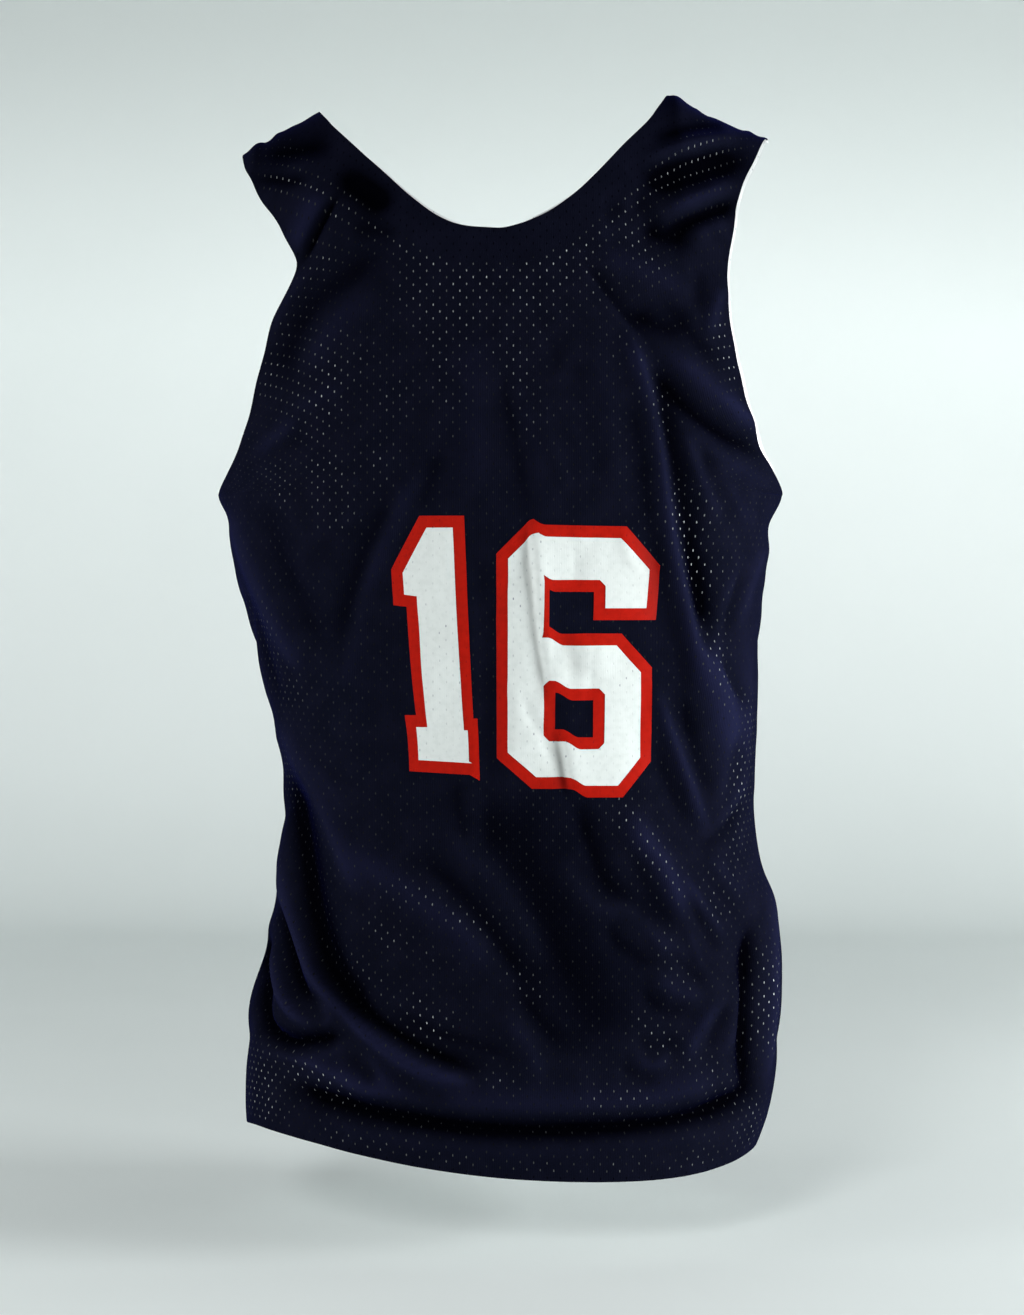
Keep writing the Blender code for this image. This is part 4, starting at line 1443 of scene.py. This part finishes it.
def cloth_material(
    name, yarn, yarn_worn, yarn_painted_highlight, yarn_painted_shade, hole_open, hole_painted_shade, patches, **settings
):
    """Mesh cloth: a painted highlight on crests, painted shade in hollows, ribs, and holes that show the
    other layer where they touch and painted shade elsewhere.
    """
    material, tree, shader = new_material(name, **settings)
    weave, mesh, drift = weave_and_groups(tree, *patches)
    neck = read_attribute(tree, "neck_distance")
    edge = read_attribute(tree, "edge_distance")
    past_neck = between(tree, neck, NECK_BAND - NECK_BAND_BLUR, NECK_BAND + NECK_BAND_BLUR)
    past_edge = between(tree, edge, EDGE_BAND - EDGE_BAND_BLUR, EDGE_BAND + EDGE_BAND_BLUR)
    clear = calculate(tree, "MULTIPLY", past_neck, past_edge)
    luck = between(tree, mesh.outputs["Which"], 0.0, 1.0, LEAST_LUCK, 1.0)
    luck = calculate(tree, "POWER", luck, LUCK_SPREAD)
    drifting = between(tree, drift, 0.0, 1.0, *DRIFT_RANGE)
    together = calculate(tree, "MULTIPLY", read_attribute(tree, "together"), drifting)
    shows = calculate(tree, "MULTIPLY", calculate(tree, "MULTIPLY", together, clear), luck)
    shows = calculate(tree, "MINIMUM", shows, 1.0)
    wear = between(tree, noise(tree, weave, WEAR_SCALE, WEAR_DETAIL), *WEAR_RANGE)
    cloth = mixed(tree, wear, (*yarn, 1), (*yarn_worn, 1))
    # A painted highlight on the crests and painted shade in the creases' hollows.
    cloth = mixed(tree, read_attribute(tree, "crest"), cloth, (*yarn_painted_highlight, 1))
    cloth = mixed(tree, read_attribute(tree, "hollow"), cloth, (*yarn_painted_shade, 1))
    # Through a hole: the other layer where the layers touch, and painted shade in the gap elsewhere.
    through = mixed(tree, shows, (*hole_painted_shade, 1), (*hole_open, 1))
    colour = mixed(tree, mesh.outputs["Hole"], cloth, through)
    tree.links.new(colour, shader.inputs["Base Color"])
    in_hole = calculate(tree, "MULTIPLY", mesh.outputs["Hole"], -1.0)
    height = calculate(tree, "MULTIPLY_ADD", mesh.outputs["Rib"], RIB_SHARE, in_hole)
    tree.links.new(bump(tree, height, MESH_DEPTH, MESH_STRENGTH), shader.inputs["Normal"])
    return material


navy_cloth = cloth_material(
    "navy_mesh",
    yarn=(0.0033, 0.0038, 0.0088),
    yarn_worn=(0.0041, 0.0046, 0.0108),
    # Painted highlight and painted shade of the navy yarn.
    yarn_painted_highlight=(0.0078, 0.0088, 0.0260),
    yarn_painted_shade=(0.0005, 0.0005, 0.0014),
    hole_open=(0.60, 0.64, 0.65),
    # Painted shade seen in a hole where the layers part.
    hole_painted_shade=(0.0008, 0.0008, 0.0020),
    patches=(0.085, 0.40, 0.58),
    Roughness=0.55,
    Sheen_Weight=0.05,
    Sheen_Roughness=0.30,
    Sheen_Tint=(0.10, 0.13, 1.0, 1),
    Specular_IOR_Level=0.0,
)
white_cloth = cloth_material(
    "white_mesh",
    yarn=(0.78, 0.80, 0.80),
    yarn_worn=(0.72, 0.74, 0.75),
    # Painted highlight and painted shade of the white yarn.
    yarn_painted_highlight=(0.80, 0.82, 0.82),
    yarn_painted_shade=(0.60, 0.62, 0.63),
    hole_open=(0.030, 0.030, 0.060),
    # Painted shade seen in a hole where the layers part.
    hole_painted_shade=(0.45, 0.47, 0.50),
    patches=(0.10, 0.35, 0.60),
    Roughness=0.60,
    Sheen_Weight=0.15,
    Sheen_Roughness=0.4,
)
print("cloths:", navy_cloth.name, white_cloth.name)

# %% [markdown]
# The ink lies on the cloth as a thin matt film. It hides most of the mesh: in some patches the holes
# still show as small pits, and a few of them break through. In the creases shade is painted on it, as
# on the cloth.

# %% Inks
# How strongly shade is painted on the ink in the creases.
INK_SHADE = 2.4
INK_PATCHES = (0.05, 0.46, 0.62)
MOTTLE_SCALE, MOTTLE_DETAIL = 220.0, 3.0
MOTTLE_RANGE = (0.40, 0.70)
BROKEN_FROM = 0.80
PIT_IN_PATCH, PIT_ANYWHERE = 0.55, 0.15
INK_RIB_SHARE, INK_PIT_SHARE = 0.25, -0.8
INK_DEPTH, INK_STRENGTH = 0.00015, 0.4


def ink_material(name, ink, ink_worn, ink_painted_shade, pit, pit_strength, **settings):
    """Printed ink over mesh cloth: mottled, with painted shade in creases, pits and broken holes."""
    material, tree, shader = new_material(name, **settings)
    weave, mesh, drift = weave_and_groups(tree, *INK_PATCHES)
    mottle = between(tree, noise(tree, weave, MOTTLE_SCALE, MOTTLE_DETAIL), *MOTTLE_RANGE)
    film = mixed(tree, mottle, (*ink, 1), (*ink_worn, 1))
    # Painted shade in the creases.
    painted_shade = calculate(tree, "MULTIPLY", read_attribute(tree, "hollow"), INK_SHADE)
    film = mixed(tree, painted_shade, film, (*ink_painted_shade, 1))
    broken = calculate(tree, "MULTIPLY", between(tree, mesh.outputs["Which"], BROKEN_FROM, 1.0), drift)
    faint = calculate(
        tree, "MULTIPLY_ADD", drift, pit_strength * PIT_IN_PATCH, pit_strength * PIT_ANYWHERE
    )
    pits = calculate(tree, "MULTIPLY_ADD", broken, pit_strength, faint)
    pits = calculate(tree, "MULTIPLY", mesh.outputs["Hole"], pits)
    tree.links.new(mixed(tree, pits, film, (*pit, 1)), shader.inputs["Base Color"])
    in_hole = calculate(tree, "MULTIPLY", mesh.outputs["Hole"], INK_PIT_SHARE)
    height = calculate(tree, "MULTIPLY_ADD", mesh.outputs["Rib"], INK_RIB_SHARE, in_hole)
    tree.links.new(bump(tree, height, INK_DEPTH, INK_STRENGTH), shader.inputs["Normal"])
    return material


red_ink = ink_material(
    "red_print",
    ink=(0.375, 0.0070, 0.0025),
    ink_worn=(0.33, 0.0062, 0.0022),
    # Painted shade of the red ink in creases.
    ink_painted_shade=(0.19, 0.0036, 0.0016),
    pit=(0.10, 0.004, 0.006),
    pit_strength=0.6,
    Roughness=0.60,
    Specular_IOR_Level=0.04,
)
white_ink = ink_material(
    "white_print",
    ink=(0.620, 0.657, 0.643),
    ink_worn=(0.580, 0.618, 0.604),
    # Painted shade of the white ink in creases.
    ink_painted_shade=(0.350, 0.365, 0.355),
    pit=(0.20, 0.22, 0.26),
    pit_strength=0.7,
    Roughness=0.65,
    Specular_IOR_Level=0.15,
)
print("inks:", red_ink.name, white_ink.name)

# %% [markdown]
# ## Put the pieces in the frame
# Every piece gets its finish and moves with the body, and the imported node that it stands for is
# hidden. The figures get their inks and move with the body too.

# %% Dress the frame
BACK_CUT, BACK_AREA = (0.56, 0.79), 0.345
FRONT_CUT, FRONT_AREA = (0.54, 0.78), 0.310
NUMBER = prints["red"] + prints["white"]
Panel = namedtuple("Panel", "piece node material slot cut area carries")
PANELS = (
    Panel(navy_back, "outer_back", navy_cloth, "navy_mesh", BACK_CUT, BACK_AREA, NUMBER),
    Panel(navy_front, "outer_front", navy_cloth, "navy_mesh", FRONT_CUT, FRONT_AREA, []),
    Panel(white_back, "inner_back", white_cloth, "white_mesh", BACK_CUT, BACK_AREA, []),
    Panel(white_front, "inner_front", white_cloth, "white_mesh", FRONT_CUT, FRONT_AREA, []),
)
for panel in PANELS:
    panel.piece.data.materials.append(panel.material)
    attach(panel.piece, "root")
    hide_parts(panel.node)
for colour, ink in (("red", red_ink), ("white", white_ink)):
    for piece in prints[colour]:
        piece.data.materials.append(ink)
        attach(piece, "root")

# %% [markdown]
# ## Studio
# A pale sweep of backdrop, curved up behind the jersey, gives no corner and no horizon. Shade is painted
# on its paper, a little darker upwards. Cloth this dark only shows its creases in light that grazes it.
# So the main panel of light stands far round on the wearer's right, level with the jersey, and a weaker
# one stands opposite. A small one beside the camera fills the middle, and two light the wall behind.

# %% Backdrop
FLOOR = -0.790
SWEEP_HALF_WIDTH = 3.2
SWEEP_NEAR, SWEEP_FAR = 2.6, -1.5
SWEEP_RADIUS = 0.9
SWEEP_TOP = 2.6
SWEEP_STEPS = 25
# The paper is painted darker upwards, as shade.
DARKER_UPWARDS = (0.05, 0.75)
PAPER, PAPER_WORN, PAPER_PAINTED_SHADE = (0.84, 0.90, 0.89), (0.87, 0.93, 0.92), (0.61, 0.66, 0.65)
PAPER_SCALE, PAPER_DETAIL = 1.5, 3.0
PAPER_RANGE = (0.3, 0.7)


def add_sweep():
    """Floor, round corner and wall as one strip."""
    profile = [(SWEEP_NEAR, FLOOR)]
    for turn in np.linspace(0, np.pi / 2, SWEEP_STEPS):
        y = SWEEP_FAR - SWEEP_RADIUS * math.sin(turn)
        profile.append((y, FLOOR + SWEEP_RADIUS * (1 - math.cos(turn))))
    profile.append((SWEEP_FAR - SWEEP_RADIUS, SWEEP_TOP))
    points = [(x, y, z) for y, z in profile for x in (-SWEEP_HALF_WIDTH, SWEEP_HALF_WIDTH)]
    faces = [(2 * i, 2 * i + 1, 2 * i + 3, 2 * i + 2) for i in range(len(profile) - 1)]
    mesh = bpy.data.meshes.new("backdrop")
    mesh.from_pydata(points, [], faces)
    mesh.shade_smooth()
    material, tree, shader = new_material("backdrop", Roughness=0.9)
    place = tree.nodes.new("ShaderNodeTexCoord").outputs["Object"]
    height = tree.nodes.new("ShaderNodeSeparateXYZ")
    tree.links.new(place, height.inputs[0])
    uneven = between(tree, noise(tree, place, PAPER_SCALE, PAPER_DETAIL), *PAPER_RANGE)
    paper = mixed(tree, uneven, (*PAPER, 1), (*PAPER_WORN, 1))
    # Painted shade: the paper is mixed darker upwards.
    upwards = between(tree, height.outputs["Z"], *DARKER_UPWARDS)
    tree.links.new(mixed(tree, upwards, paper, (*PAPER_PAINTED_SHADE, 1)), shader.inputs["Base Color"])
    mesh.materials.append(material)
    sweep = bpy.data.objects.new("backdrop", mesh)
    bpy.context.scene.collection.objects.link(sweep)


add_sweep()

# %% Lights
Light = namedtuple("Light", "name place target size power colour")
LIGHTS = (
    Light("left", (2.10, 0.60, -0.40), (0.0, 0.1, -0.40), 0.8, 30.0, (1.0, 1.0, 0.99)),
    Light("right", (-2.15, 0.45, -0.40), (0.0, 0.1, -0.40), 0.8, 82.0, (0.98, 1.0, 1.0)),
    Light("camera_side", (0.55, 1.60, 0.22), (0.0, 0.1, -0.25), 0.5, 11.0, (1.0, 1.0, 1.0)),
    Light("wall_left", (2.20, -0.60, 0.10), (0.6, -2.4, -0.20), 1.2, 6.0, (1.0, 1.0, 1.0)),
    Light("wall_right", (-2.20, -0.60, 0.10), (-0.6, -2.4, -0.20), 1.2, 9.0, (1.0, 1.0, 1.0)),
)
WORLD_COLOUR = (0.88, 0.93, 0.95, 1)
WORLD_STRENGTH = 0.15


def add_light(light):
    """A square panel of light that faces its target."""
    data = bpy.data.lights.new(light.name, "AREA")
    data.size, data.energy, data.color = light.size, light.power, light.colour
    lamp = bpy.data.objects.new(light.name, data)
    lamp.location = light.place
    towards = Vector(light.target) - Vector(light.place)
    lamp.rotation_euler = towards.to_track_quat("-Z", "Y").to_euler()
    bpy.context.scene.collection.objects.link(lamp)


for light in LIGHTS:
    add_light(light)
world = bpy.data.worlds.new("studio")
world.use_nodes = True
background = world.node_tree.nodes["Background"]
background.inputs["Color"].default_value = WORLD_COLOUR
background.inputs["Strength"].default_value = WORLD_STRENGTH
bpy.context.scene.world = world
bpy.context.scene.view_settings.view_transform = "Standard"
print(f"{len(LIGHTS)} lights")
